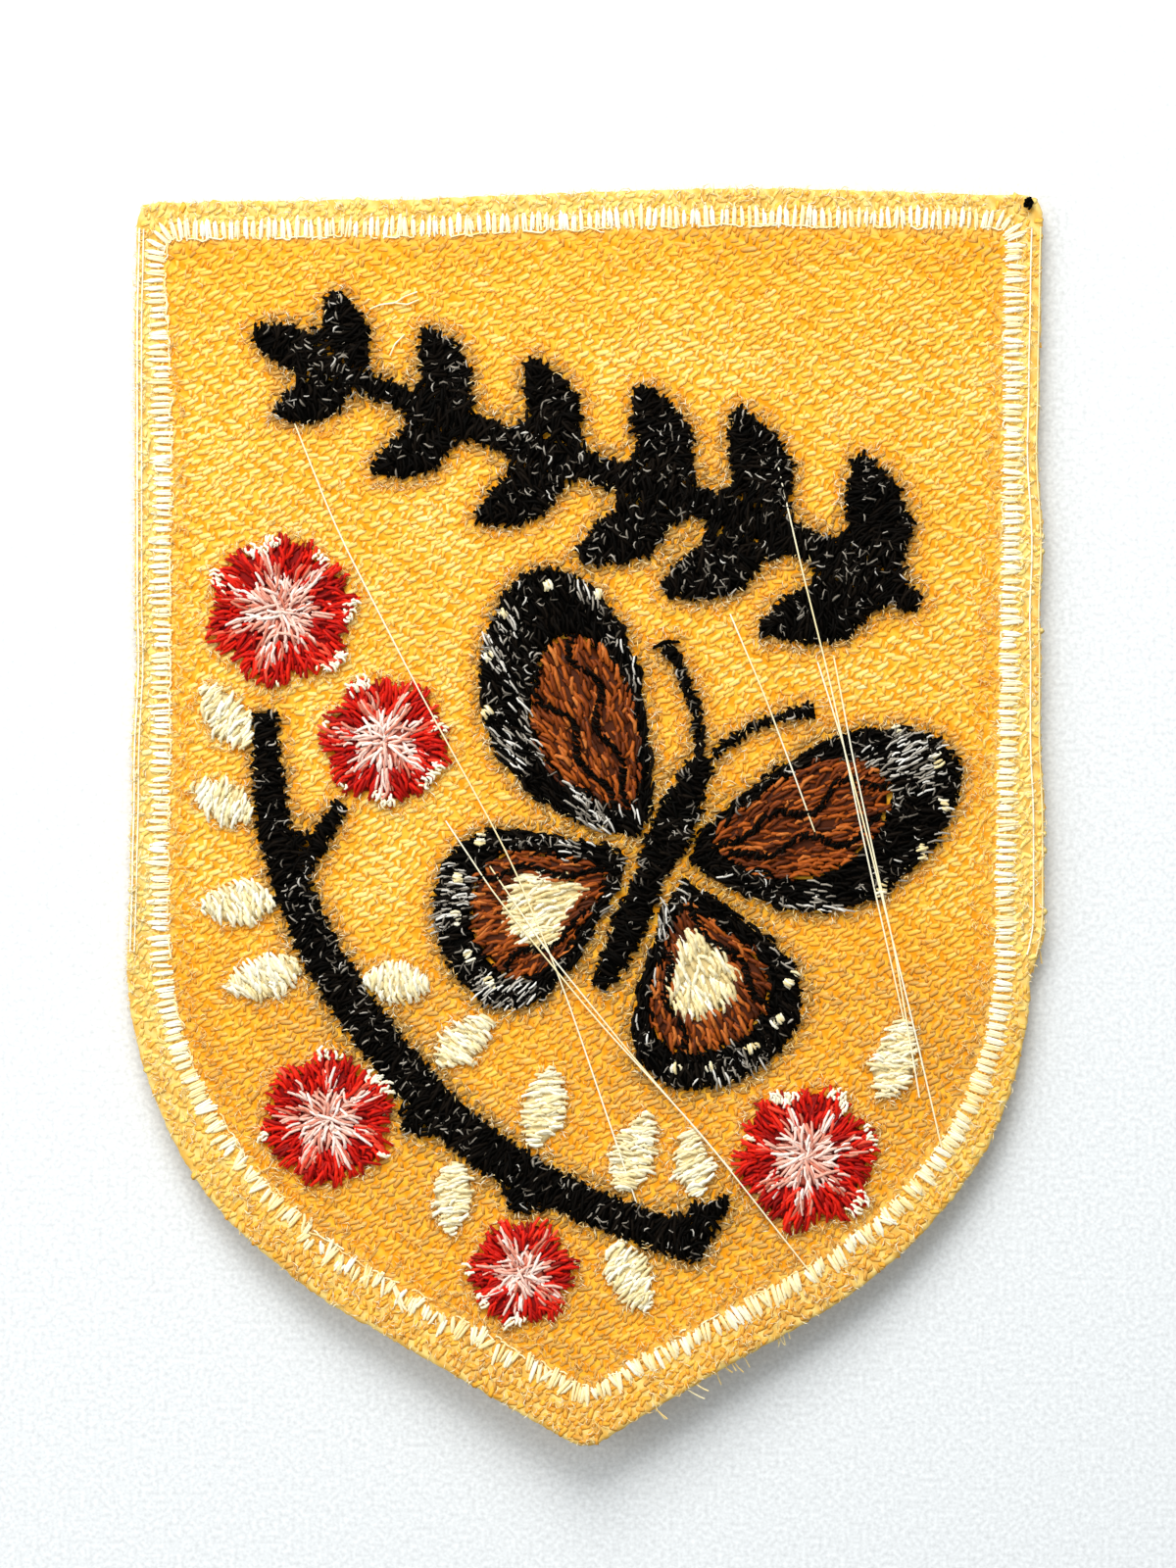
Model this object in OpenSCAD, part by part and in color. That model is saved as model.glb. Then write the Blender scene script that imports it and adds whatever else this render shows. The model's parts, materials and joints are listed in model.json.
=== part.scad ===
// Embroidered cloth patch cut as a shield, lying on its face with the back of its stitching up.
// Origin under the middle of the patch, on the surface that it lies on.
// +X runs to the right, +Y to the top edge and +Z up. All sizes are in millimetres.

/* [Shield outline] */
// Width across the two straight sides
shield_w = 57; // [54:0.5:60]
// Height over all, from the top cut to the point
shield_h = 79; // [76:0.5:84]
// Radius of the rounded shoulders
shoulder_r = 28; // [26:0.5:30]
// Slope of the two lower edges at the point
point_angle = 28.7; // [26:0.1:31]
// Width of the blunt end of the point
point_w = 1.2; // [0.8:0.1:2]
// Radius of the two top corners
corner_r = 1; // [0.5:0.1:2]

/* [Ground cloth] */
// Thickness of the twill with its stiffener
cloth_t = 1; // [1:0.1:1.6]
// Height that the point curls up from the surface
curl_h = 2.3; // [0:0.1:4]
// Height on the shield below which the curl starts
curl_from = -6; // [-12:1:4]
// Height of the soft swelling inside the border
puff_h = 0.2; // [0:0.05:0.3]
// Height of the gentle waves in the middle
wave_h = 0.08; // [0:0.02:0.12]

/* [Border] */
// Distance from the nominal edge to the middle of the border
border_in = 1.75; // [1.6:0.05:2]
// Extra distance from the edge at the point
border_tip_in = 1.1; // [0.6:0.1:1.4]
// Width of the bobbin bars on the back
bobbin_w = 1.3; // [1:0.1:1.6]
// Width of the satin border on the face
satin_w = 2.7; // [2:0.1:3]
// Thickness of the satin border, which carries the patch
satin_t = 0.34; // [0.3:0.02:0.36]

/* [Stitching] */
// Space between the surface and the underside of the cloth
cloth_z = 0.4; // [0.4:0.02:0.5]
// Clearance between the cloth and the stitched pads
pad_gap = 0.06; // [0.05:0.01:0.08]
// Thickness of the stitched pads on the back
back_pad_t = 0.32; // [0.2:0.02:0.5]
// Thickness of the stitched pads on the face
face_pad_t = 0.26; // [0.2:0.02:0.3]
// Scale of the whole stitched picture
design_scale = 1; // [0.94:0.01:1]

/* [Butterfly] */
// Scale of the butterfly
butterfly_scale = 1.12; // [1:0.02:1.14]
// Angle that the butterfly leans
butterfly_lean = -24; // [-28:1:-20]
// Size of the rust field in a fore wing
fore_field = 0.66; // [0.5:0.02:0.72]
// Size of the rust field in a hind wing
hind_field = 0.72; // [0.66:0.02:0.76]
// Size of the cream field in a hind wing
hind_heart = 0.44; // [0.34:0.02:0.5]

/* [Blooms] */
// Number of lobes round a bloom
bloom_lobes = 6; // [5:1:7]
// Depth of the notches between the lobes
bloom_notch = 0.16; // [0.08:0.02:0.22]
// Size of the pale heart
bloom_heart_size = 0.44; // [0.3:0.02:0.5]

/* [Hidden] */
BACK = 1;
FACE = -1;
LEFT = -1;
RIGHT = 1;

// How far the scissors strayed outside the nominal edge: height, left side, right side
cut_rows = [
    [38.0, -0.25, 0.30], [33.0, -0.15, 0.20], [22.0, -0.15, 0.00], [17.0, -0.15, 0.40],
    [13.0, -0.10, 0.10], [9.0, -0.25, 0.30], [5.0, 0.10, 0.10], [1.0, 0.10, 0.40],
    [-7.7, 0.30, 0.45], [-9.6, 0.55, -0.35], [-13.5, 0.60, -0.10], [-21.0, 0.60, 0.20],
    [-25.0, 0.60, 0.00], [-28.0, 0.00, -0.30], [-33.0, -0.50, -0.75], [-36.0, -0.20, -0.60],
    [-39.5, 0.00, 0.00]
];
// How far the top cut strays upwards: place across the shield, rise
top_rows = [
    [-28, -0.30], [-20, -0.20], [-9, -0.05], [-2, 0.30], [6, 0.55], [13, 0.65], [18, 0.40],
    [28, 0.15]
];
// How far the border's line strays inwards: height, left side, right side
border_rows = [
    [37, -0.35, -0.10], [33, -0.35, -0.05], [26, 0.10, 0.00], [10, 0.00, 0.20],
    [-6, -0.10, 0.50], [-13, 0.00, 0.40], [-20, 0.30, 0.20], [-36, 0.00, 0.00]
];
// Depth over which the rise of the top cut fades out
top_fade = 12;

// Sprig stem: x, y, half width
sprig_stem_rows = [
    [21.0, 13.2, 0.60], [14.0, 17.0, 0.90], [6.0, 20.0, 0.85], [-2.0, 22.6, 0.80],
    [-10.0, 25.5, 0.65], [-16.6, 28.5, 0.40]
];
// Sprig leaves grow in pairs: number of pairs, and at the first and the last pair
// the length and the half width of a leaf
sprig_pairs = 6;
sprig_leaf_len = [7.6, 4.4];
sprig_leaf_half = [2.05, 1.30];
// Angle of a sprig leaf from the stem
sprig_leaf_angle = 44;
// Width of a leaf's root as a share of its widest part, and the gap between root and stem
leaf_root = 0.2;
side_gap = 0.15;

// Twig stem and its shoots: x, y, half width
twig_stem_rows = [
    [7.5, -27.2, 0.95], [1.0, -24.9, 1.05], [-6.0, -21.3, 1.20], [-12.0, -15.5, 1.25],
    [-16.8, -8.5, 1.15], [-19.6, -1.0, 0.95], [-20.2, 6.4, 0.65]
];
twig_shoot_rows = [
    [[-10.5, -19.6, 0.45], [-11.0, -19.6, 0.45], [-11.5, -19.5, 0.40]],
    [[-17.1, -2.6, 0.50], [-16.4, -1.0, 0.45], [-15.4, 0.7, 0.35]],
    [[-4.1, -24.2, 0.45], [-4.15, -24.5, 0.45], [-4.2, -24.9, 0.40]],
    [[6.6, -25.1, 0.45], [7.9, -24.9, 0.45], [9.0, -24.3, 0.35]]
];
// Cream leaves: x and y of the root, angle, length, half width
cream_leaf_rows = [
    [-21.4, 4.4, 125, 4.4, 1.30], [-21.1, -0.2, 150, 4.0, 1.25], [-19.6, -5.4, 185, 4.6, 1.40],
    [-13.8, -10.4, -5, 4.0, 1.30], [-18.0, -9.7, 195, 4.8, 1.40], [-9.2, -15.6, 40, 4.2, 1.30],
    [-3.1, -20.8, 78, 4.8, 1.40], [2.2, -23.6, 70, 5.0, 1.40], [-8.2, -21.8, -95, 4.4, 1.20],
    [1.8, -26.9, -65, 4.6, 1.30], [7.0, -23.9, 98, 4.0, 1.20], [18.8, -17.8, 75, 5.0, 1.40]
];
// Blooms: x, y, radius, turn of the lobes
bloom_rows = [
    [-19.2, 12.8, 4.9, 12], [-12.6, 4.6, 4.2, 40], [-16.2, -19.2, 4.4, 5], [-4.0, -28.7, 3.5, 28],
    [13.8, -21.6, 4.7, 18]
];

// Butterfly, drawn upright with its head up and then leaned: centre of the picture
butterfly_at = [4.5, -3];
// Rim of the right wings: x, y
fore_rim = [
    [1.7, 0.8], [2.5, 4.6], [5.6, 9.7], [9.6, 12.5], [13.2, 12.1], [14.0, 8.4], [12.2, 3.4],
    [8.0, 0.6]
];
hind_rim = [
    [1.7, -0.5], [5.4, -1.0], [9.4, -2.2], [10.9, -5.4], [9.2, -9.2], [5.6, -11.2], [2.7, -9.4],
    [1.7, -4.4]
];
// Points that the fields inside the wings shrink towards
fore_focus = [4.4, 4.6];
hind_focus = [4.2, -4.6];
// Share of a wing or a bloom left clear between a field and the band round it
hair = 0.03;
// Body and right antenna: x, y, half width
body_rows = [
    [0, -7.8, 0.30], [0, -6.0, 0.65], [0, -3.2, 0.90], [0, -1.0, 0.70], [0, 1.2, 1.10],
    [0, 3.4, 1.05], [0, 4.6, 0.70], [0, 5.6, 0.80], [0, 6.5, 0.40]
];
antenna_rows = [[0.4, 6.8, 0.18], [1.7, 9.0, 0.18], [3.6, 10.8, 0.20], [4.6, 11.4, 0.42]];

// Numbers of steps along the outline, across the cloth and round the smoothed shapes
straight_steps = 16;
arc_steps = 12;
flank_steps = 3;
corner_steps = 3;
top_steps = 9;
cloth_columns = 16;
rim_steps = 2;
lobe_steps = 3;
heart_steps = 9;
leaf_steps = 3;

half_w = shield_w / 2;
top_rise = max([for (r = top_rows) r[1]]);
top_y = shield_h / 2 - top_rise;
tip_y = -shield_h / 2;
// The straight lower edge touches the shoulder's arc, which sets where the arc starts
edge_normal = [sin(point_angle), -cos(point_angle)];
shoulder_y = (edge_normal * [point_w / 2, tip_y] - shoulder_r
    - edge_normal[0] * (half_w - shoulder_r)) / edge_normal[1];
shoulder_turn = 90 - point_angle;
arc_end = [half_w - shoulder_r * (1 - cos(shoulder_turn)),
    shoulder_y - shoulder_r * sin(shoulder_turn)];
sharp_tip = [0, tip_y - point_w / 2 * tan(point_angle)];

sprig_leaf_count = 2 * sprig_pairs + 1;

// Heights and the shield's outline

function smooth(t) = let (c = min(max(t, 0), 1)) c * c * (3 - 2 * c);
function column(rows, k) = [for (r = rows) [r[0], r[k]]];
function lift(y) = curl_h * pow(max(0, (curl_from - y) / (curl_from - tip_y)), 2);

// Rows of the right side, each as half width and height, from below the corner to the point
side_rows = concat(
    [for (i = [1:straight_steps]) [half_w, top_y + (shoulder_y - top_y) * i / straight_steps]],
    [for (i = [1:arc_steps]) let (a = shoulder_turn * i / arc_steps)
        [half_w - shoulder_r * (1 - cos(a)), shoulder_y - shoulder_r * sin(a)]],
    [for (i = [1:flank_steps - 1])
        arc_end + ([point_w / 2, tip_y] - arc_end) * i / flank_steps]);
corner_rows = [for (i = [0:corner_steps]) let (a = 90 * i / corner_steps)
    [half_w - corner_r * (1 - sin(a)), top_y - corner_r * (1 - cos(a))]];
cloth_rows = concat(corner_rows, side_rows, [[point_w / 2, tip_y]]);

// The nominal edge as a closed loop with sharp corners, clockwise from the top left corner
edge_loop = concat(
    [for (i = [0:top_steps]) [half_w * (2 * i / top_steps - 1), top_y]],
    side_rows, [sharp_tip],
    [for (i = [len(side_rows) - 1:-1:0]) [-side_rows[i][0], side_rows[i][1]]]);

function unit(v) = v / norm(v);
function segment_distance(p, a, b) = let (
    t = min(max((p - a) * (b - a) / ((b - a) * (b - a)), 0), 1)) norm(p - a - t * (b - a));
function edge_distance(p) = min([for (i = [0:len(edge_loop) - 1])
    segment_distance(p, edge_loop[i], edge_loop[(i + 1) % len(edge_loop)])]);

// Height of the cloth's upper side: it swells inside the border and waves a little
function wave(p) = sin(9 * p[0] + 5 * p[1]) * sin(7 * p[1] - 3 * p[0] + 40);
function cloth_top(p) = let (inside = smooth((edge_distance(p) - 3.2) / 6))
    cloth_z + cloth_t + lift(p[1]) + inside * (puff_h + wave_h * wave(p));

// A point of a stitched pad: h runs from 0 at the cloth to 1 on the crown of the stitches
function pad_point(face, p, h) = [p[0], p[1], face == BACK
    ? cloth_top(p) + pad_gap + h * back_pad_t
    : cloth_z + lift(p[1]) - pad_gap - h * face_pad_t];

// Smooth curves through table rows, open and closed

function spline(a, b, c, d, t) = (2 * b + (c - a) * t + (2 * a - 5 * b + 4 * c - d) * t * t
    + (3 * b - a - 3 * c + d) * t * t * t) / 2;
function open_curve(rows, steps) = let (n = len(rows) - 1) concat(
    [for (i = [0:n - 1], k = [0:steps - 1]) spline(rows[max(i - 1, 0)], rows[i], rows[i + 1],
        rows[min(i + 2, n)], k / steps)],
    [rows[n]]);
function closed_curve(rows, steps) = let (n = len(rows))
    [for (i = [0:n - 1], k = [0:steps - 1]) spline(rows[(i + n - 1) % n], rows[i],
        rows[(i + 1) % n], rows[(i + 2) % n], k / steps)];
function shrink(loop, focus, size) = [for (p = loop) focus + (p - focus) * size];

// Places on the patch

function turned(p, a) = [p[0] * cos(a) - p[1] * sin(a), p[0] * sin(a) + p[1] * cos(a)];
function on_patch(p) = design_scale * p;
function on_butterfly(p, side) = on_patch(butterfly_at
    + butterfly_scale * turned([side * p[0], p[1]], butterfly_lean));
function butterfly_row(r, side) = let (p = on_butterfly(r, side))
    [p[0], p[1], r[2] * butterfly_scale * design_scale];
function patch_row(r) = [r[0] * design_scale, r[1] * design_scale, r[2] * design_scale];

// Faces between rings of points, wound so that they point outwards

function ring_faces(rings, size, closed) = [
    for (r = [0:rings - (closed ? 1 : 2)], p = [0:size - 1]) let (
        s = (r + 1) % rings, q = (p + 1) % size) each [
            [r * size + p, s * size + q, r * size + q], [r * size + p, s * size + p, s * size + q]]];
function flipped(faces, flip) = flip ? [for (f = faces) [f[2], f[1], f[0]]] : faces;

// A satin column along rows of x, y and half width
module satin_column(face, rows) {
    n = len(rows);
    rings = [for (i = [0:n - 1]) let (
        before = rows[max(i - 1, 0)], after = rows[min(i + 1, n - 1)],
        along = unit([after[0] - before[0], after[1] - before[1]]),
        across = [-along[1], along[0]], at = [rows[i][0], rows[i][1]], w = rows[i][2])
            [for (s = [[1, 0], [0.6, 1], [-0.6, 1], [-1, 0]])
                pad_point(face, at + across * w * s[0], s[1])]];
    last = 4 * (n - 1);
    caps = [[0, 1, 2], [0, 2, 3], [last, last + 2, last + 1], [last, last + 3, last + 2]];
    polyhedron([for (r = rings) each r],
        flipped(concat(ring_faces(n, 4, false), caps), face == FACE), convexity = 6);
}

// A stitched band between two clockwise loops of as many points, such as a wing's dark edge
module stitched_band(face, outer, inner, flip = false) {
    n = len(outer);
    rings = [for (i = [0:n - 1]) [
        pad_point(face, outer[i], 0), pad_point(face, outer[i] * 0.85 + inner[i] * 0.15, 1),
        pad_point(face, outer[i] * 0.15 + inner[i] * 0.85, 1), pad_point(face, inner[i], 0)]];
    polyhedron([for (r = rings) each r],
        flipped(ring_faces(n, 4, true), (face == FACE) != flip), convexity = 6);
}

// A stitched field inside a clockwise loop round a centre
module stitched_field(face, loop, centre, flip = false) {
    n = len(loop);
    crown = shrink(loop, centre, 0.84);
    points = concat([for (p = loop) pad_point(face, p, 0)], [for (p = crown) pad_point(face, p, 1)],
        [pad_point(face, centre, 0), pad_point(face, centre, 1)]);
    faces = [for (i = [0:n - 1]) let (j = (i + 1) % n) each [
        [i, j, n + j], [i, n + j, n + i], [2 * n, j, i], [2 * n + 1, n + i, n + j]]];
    polyhedron(points, flipped(faces, (face == FACE) != flip), convexity = 6);
}

// A pointed leaf from its root
module stitched_leaf(face, root, angle, length, half) {
    along = [cos(angle), sin(angle)];
    rows = [for (i = [0:leaf_steps]) let (t = i / leaf_steps, p = root + along * length * t)
        [p[0], p[1], half * (leaf_root + (1 - leaf_root) * sin(180 * pow(t, 0.8)))]];
    satin_column(face, rows);
}

// Sub-parts

module ground_cloth() color("#f6bf49") {
    rows = len(cloth_rows);
    columns = cloth_columns + 1;
    cut_left = column(cut_rows, 1);
    cut_right = column(cut_rows, 2);
    // Columns crowd towards the edges, where the cloth bends most
    spread = [for (c = [0:cloth_columns]) sin(180 * c / cloth_columns - 90)];
    plan = [for (r = cloth_rows, f = spread) let (
        x = f * (r[0] + lookup(r[1], f < 0 ? cut_left : cut_right)),
        rise = lookup(x, top_rows) * max(0, 1 - (top_y - r[1]) / top_fade)) [x, r[1] + rise]];
    count = rows * columns;
    points = concat([for (p = plan) [p[0], p[1], cloth_top(p)]],
        [for (p = plan) [p[0], p[1], cloth_z + lift(p[1])]]);
    sheet = [for (r = [0:rows - 2], c = [0:columns - 2]) let (i = r * columns + c) each [
        [i, i + 1, i + columns + 1], [i, i + columns + 1, i + columns]]];
    rim = concat([for (c = [0:columns - 2]) c],
        [for (r = [0:rows - 2]) r * columns + columns - 1],
        [for (c = [columns - 1:-1:1]) (rows - 1) * columns + c],
        [for (r = [rows - 1:-1:1]) r * columns]);
    walls = [for (k = [0:len(rim) - 1]) let (a = rim[k], b = rim[(k + 1) % len(rim)]) each [
        [b, a, a + count], [b, a + count, b + count]]];
    under = [for (f = sheet) [f[2] + count, f[1] + count, f[0] + count]];
    polyhedron(points, concat(sheet, walls, under), convexity = 6);
}

// The edge loop moved inwards to the border's middle, and sideways by part of its width
function border_loop(offset) = let (n = len(edge_loop), in_left = column(border_rows, 1),
    in_right = column(border_rows, 2)) [for (i = [0:n - 1]) let (
        p = edge_loop[i], a = unit(p - edge_loop[(i + n - 1) % n]),
        b = unit(edge_loop[(i + 1) % n] - p), out = [-a[1] - b[1], a[0] + b[0]] / (1 + a * b),
        stray = p[1] > top_y - 0.1 ? -lookup(p[0], top_rows)
            : lookup(p[1], p[0] < 0 ? in_left : in_right),
        low = border_tip_in * smooth((-14 - p[1]) / 24))
            p - out * (border_in + low + stray - offset)];

module border_ring(face, width, lowest, highest) {
    n = len(edge_loop);
    outer = border_loop(width / 2);
    inner = border_loop(-width / 2);
    rings = [for (i = [0:n - 1]) let (p = outer[i], q = inner[i], u = 0.8 * p + 0.2 * q,
        v = 0.2 * p + 0.8 * q) face == BACK
            ? [pad_point(BACK, p, 0), pad_point(BACK, u, 1), pad_point(BACK, v, 1),
                pad_point(BACK, q, 0)]
            : [[p[0], p[1], highest + lift(p[1])], [u[0], u[1], lowest + lift(u[1])],
                [v[0], v[1], lowest + lift(v[1])], [q[0], q[1], highest + lift(q[1])]]];
    polyhedron([for (r = rings) each r],
        flipped(ring_faces(n, 4, true), face == FACE), convexity = 6);
}

module border_satin_face() color("#f0b23c") border_ring(FACE, satin_w, 0, satin_t);
module border_bobbin_back() color("#fff4d6") border_ring(BACK, bobbin_w, 0, 0);

module both_faces() {
    for (face = [BACK, FACE]) {
        $face = face;
        children();
    }
}

module sprig_stem() color("#15110e") both_faces()
    satin_column($face, [for (r = open_curve(sprig_stem_rows, 2)) patch_row(r)]);

module sprig_leaf(i) {
    stem = open_curve(sprig_stem_rows, 8);
    pair = floor((i - 1) / 2);
    side = i % 2 == 1 ? LEFT : RIGHT;
    last = i == sprig_leaf_count;
    t = last ? 1 : (pair + 0.4) / sprig_pairs;
    k = min(floor(t * (len(stem) - 1)), len(stem) - 2);
    along = unit([stem[k + 1][0] - stem[k][0], stem[k + 1][1] - stem[k][1]]);
    heading = atan2(along[1], along[0]) + (last ? 0 : side * sprig_leaf_angle);
    length = sprig_leaf_len[0] + (sprig_leaf_len[1] - sprig_leaf_len[0]) * t;
    half = sprig_leaf_half[0] + (sprig_leaf_half[1] - sprig_leaf_half[0]) * t;
    // The root's near corner stands just clear of the stem, and at the end just past it
    clear = last ? 2 * side_gap : (stem[k][2] + side_gap
        + leaf_root * half * cos(sprig_leaf_angle)) / sin(sprig_leaf_angle);
    root = [stem[last ? k + 1 : k][0], stem[last ? k + 1 : k][1]]
        + clear * [cos(heading), sin(heading)];
    color("#15110e") both_faces() stitched_leaf($face, on_patch(root), heading,
        length * design_scale, half * design_scale);
}

module twig_stem() color("#1a1411") both_faces()
    satin_column($face, [for (r = open_curve(twig_stem_rows, 2)) patch_row(r)]);
module twig_shoot(i) color("#1a1411") both_faces()
    satin_column($face, [for (r = twig_shoot_rows[i - 1]) patch_row(r)]);

function wing_loop(rim, focus, size, side) = [for (p = shrink(closed_curve(rim, rim_steps), focus,
    size)) on_butterfly(p, side)];
module wing_band(rim, focus, outer, inner, side) both_faces() stitched_band($face,
    wing_loop(rim, focus, outer, side), wing_loop(rim, focus, inner, side), side == LEFT);
module wing_field(rim, focus, size, side) both_faces() stitched_field($face,
    wing_loop(rim, focus, size, side), on_butterfly(focus, side), side == LEFT);

module fore_wing_edge(side) color("#17110d") wing_band(fore_rim, fore_focus, 1, fore_field, side);
module fore_wing_field(side) color("#8c4317")
    wing_field(fore_rim, fore_focus, fore_field - hair, side);
module hind_wing_edge(side) color("#17110d") wing_band(hind_rim, hind_focus, 1, hind_field, side);
module hind_wing_field(side) color("#8c4317")
    wing_band(hind_rim, hind_focus, hind_field - hair, hind_heart, side);
module hind_wing_heart(side) color("#e6dcb4")
    wing_field(hind_rim, hind_focus, hind_heart - hair, side);
module butterfly_body() color("#120e0c") both_faces()
    satin_column($face, [for (r = body_rows) butterfly_row(r, RIGHT)]);
module antenna(side) color("#120e0c") both_faces()
    satin_column($face, [for (r = open_curve(antenna_rows, 1)) butterfly_row(r, side)]);

// A bloom's rim has round lobes with notches between them
function bloom_rim(row) = [for (k = [0:bloom_lobes * lobe_steps - 1]) let (
    turn = 360 * k / (bloom_lobes * lobe_steps),
    lobe = 1 - bloom_notch * pow(1 - abs(sin(turn * bloom_lobes / 2)), 1.5))
        on_patch([row[0], row[1]] - row[2] * lobe * [cos(turn + row[3]), -sin(turn + row[3])])];
function bloom_inner(row, steps, size) = [for (k = [0:steps - 1]) let (
    turn = 360 * k / steps + row[3])
        on_patch([row[0], row[1]] - row[2] * size * [cos(turn), -sin(turn)])];
module bloom_petals(i) color("#d2281e") both_faces() stitched_band($face,
    bloom_rim(bloom_rows[i - 1]),
    bloom_inner(bloom_rows[i - 1], bloom_lobes * lobe_steps, bloom_heart_size));
module bloom_heart(i) color("#efc0b4") both_faces() stitched_field($face,
    bloom_inner(bloom_rows[i - 1], heart_steps, bloom_heart_size - hair),
    on_patch([bloom_rows[i - 1][0], bloom_rows[i - 1][1]]));

module cream_leaf(i) color("#f4e8bd") let (r = cream_leaf_rows[i - 1]) both_faces()
    stitched_leaf($face, on_patch([r[0], r[1]]), r[2], r[3] * design_scale, r[4] * design_scale);

ground_cloth();
border_satin_face();
border_bobbin_back();
sprig_stem();
for (i = [1:sprig_leaf_count])
    sprig_leaf(i);
twig_stem();
for (i = [1:len(twig_shoot_rows)])
    twig_shoot(i);
for (side = [LEFT, RIGHT]) {
    name = side == LEFT ? "left" : "right";
    fore_wing_edge(side);
    fore_wing_field(side);
    hind_wing_edge(side);
    hind_wing_field(side);
    hind_wing_heart(side);
    antenna(side);
}
butterfly_body();
for (i = [1:len(bloom_rows)]) {
    bloom_petals(i);
    bloom_heart(i);
}
for (i = [1:len(cream_leaf_rows)])
    cream_leaf(i);
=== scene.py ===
"""Embroidered clothing patch that lies on its face, with the back of its stitching up.

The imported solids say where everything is: each stitched motif, the border and the cloth are read
from them as maps of the patch. Twill floats, stitches, bars and fuzz are then laid over those maps
in millimetres, made by Geometry Nodes, and draped over the cloth.
"""

import json
import logging
import math
from dataclasses import dataclass, field, replace
from enum import Enum
from typing import Any, Sequence

import bmesh
import bpy
import numpy as np
from bpy.types import ColorRamp, Material, Mesh, NodeSocket, NodeTree, Object
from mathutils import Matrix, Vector

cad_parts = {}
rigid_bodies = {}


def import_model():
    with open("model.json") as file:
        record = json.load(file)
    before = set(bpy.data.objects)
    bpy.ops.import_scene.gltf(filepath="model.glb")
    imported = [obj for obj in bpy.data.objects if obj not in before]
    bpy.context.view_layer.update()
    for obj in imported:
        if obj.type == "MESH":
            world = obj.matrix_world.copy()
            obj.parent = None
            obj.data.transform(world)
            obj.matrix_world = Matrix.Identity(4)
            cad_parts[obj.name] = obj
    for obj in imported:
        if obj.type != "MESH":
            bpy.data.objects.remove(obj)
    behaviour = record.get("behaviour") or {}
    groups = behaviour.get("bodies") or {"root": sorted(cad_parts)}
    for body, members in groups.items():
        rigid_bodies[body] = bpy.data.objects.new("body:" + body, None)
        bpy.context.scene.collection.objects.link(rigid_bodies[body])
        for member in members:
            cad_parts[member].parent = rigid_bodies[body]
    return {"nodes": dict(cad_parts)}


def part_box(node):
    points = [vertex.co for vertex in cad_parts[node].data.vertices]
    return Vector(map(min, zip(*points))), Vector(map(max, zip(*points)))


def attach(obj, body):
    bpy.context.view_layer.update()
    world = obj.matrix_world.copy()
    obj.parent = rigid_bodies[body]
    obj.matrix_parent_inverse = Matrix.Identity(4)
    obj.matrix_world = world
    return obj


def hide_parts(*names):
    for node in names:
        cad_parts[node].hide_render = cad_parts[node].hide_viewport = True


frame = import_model()

Array = np.ndarray
Pair = tuple[float, float]
Colour = tuple[float, float, float]
Shape = tuple[list[tuple[float, float, float]], list[tuple[int, ...]]]
Stops = tuple[tuple[float, Colour], ...]

MM = 0.001
BAKE_MAP = "OFBake"
# Tones that a thread can have, each a strip of its map
STRIPS = 32
# Millimetres of thread that the whole height of a map stands for
MAP_RUN = 3.0
# Numbers on points that only the making of a piece needs
MAKING = ("side", "turn", "size", "kind", "tone", "run", "along", "across", "around", "radius")
# Steps to a cell's neighbours on a map that has a rim of one cell: straight, and slanting
STRAIGHT = ((0, 1), (2, 1), (1, 0), (1, 2))
SLANTING = ((0, 0), (0, 2), (2, 0), (2, 2))
log = logging.getLogger("patch")


class Side(Enum):
    """The two sides of the cloth: the back of the stitching is up, and the face is under it."""

    BACK = 1
    FACE = -1


class Flow(Enum):
    """How stitches run in a motif: square to its edges, out from a point, or straight across."""

    SQUARE = "square"
    FAN = "fan"
    ACROSS = "across"


def linear(red: int, green: int, blue: int) -> Colour:
    """Turn a colour of 0 to 255 into linear light."""
    return tuple(((c / 255 + 0.055) / 1.055) ** 2.4 if c > 10 else c / 255 / 12.92
                 for c in (red, green, blue))


def ramp(*stops: tuple[float, int, int, int]) -> Stops:
    """Make a ramp's stops from places and colours of 0 to 255."""
    return tuple((place, linear(*colour)) for place, *colour in stops)


def ease(values: Any, start: float, end: float) -> Any:
    """Ease from 0 where values reach the start to 1 where they reach the end."""
    share = np.clip((values - start) / (end - start), 0, 1)
    return share * share * (3 - 2 * share)


def blurred(values: Array, reach: int) -> Array:
    """Blur a map twice with a box.

    Args:
        values: the map.
        reach: cells that the box takes in on each side.

    Returns:
        The blurred map.
    """
    width = 2 * reach + 1
    for _ in range(4):
        total = np.cumsum(np.pad(values, ((reach + 1, reach), (0, 0)), mode="edge"), 0)
        values = ((total[width:] - total[:-width]) / width).T
    return values


def grown(mask: Array, steps: int) -> Array:
    """Grow a mask, or shrink it.

    Args:
        mask: the mask.
        steps: cells that it grows by, and shrinks by where the number is negative.

    Returns:
        The new mask.
    """
    if steps < 0:
        return ~grown(~mask, -steps)
    rows, columns = mask.shape
    for step in range(steps):
        rimmed, mask = np.pad(mask, 1), mask.copy()
        for down, right in STRAIGHT + SLANTING * (step % 2):
            mask |= rimmed[down:down + rows, right:right + columns]
    return mask


def along(headings: Array) -> Array:
    """Give the unit vectors of headings in radians."""
    return np.stack([np.cos(headings), np.sin(headings)], -1)


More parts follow.
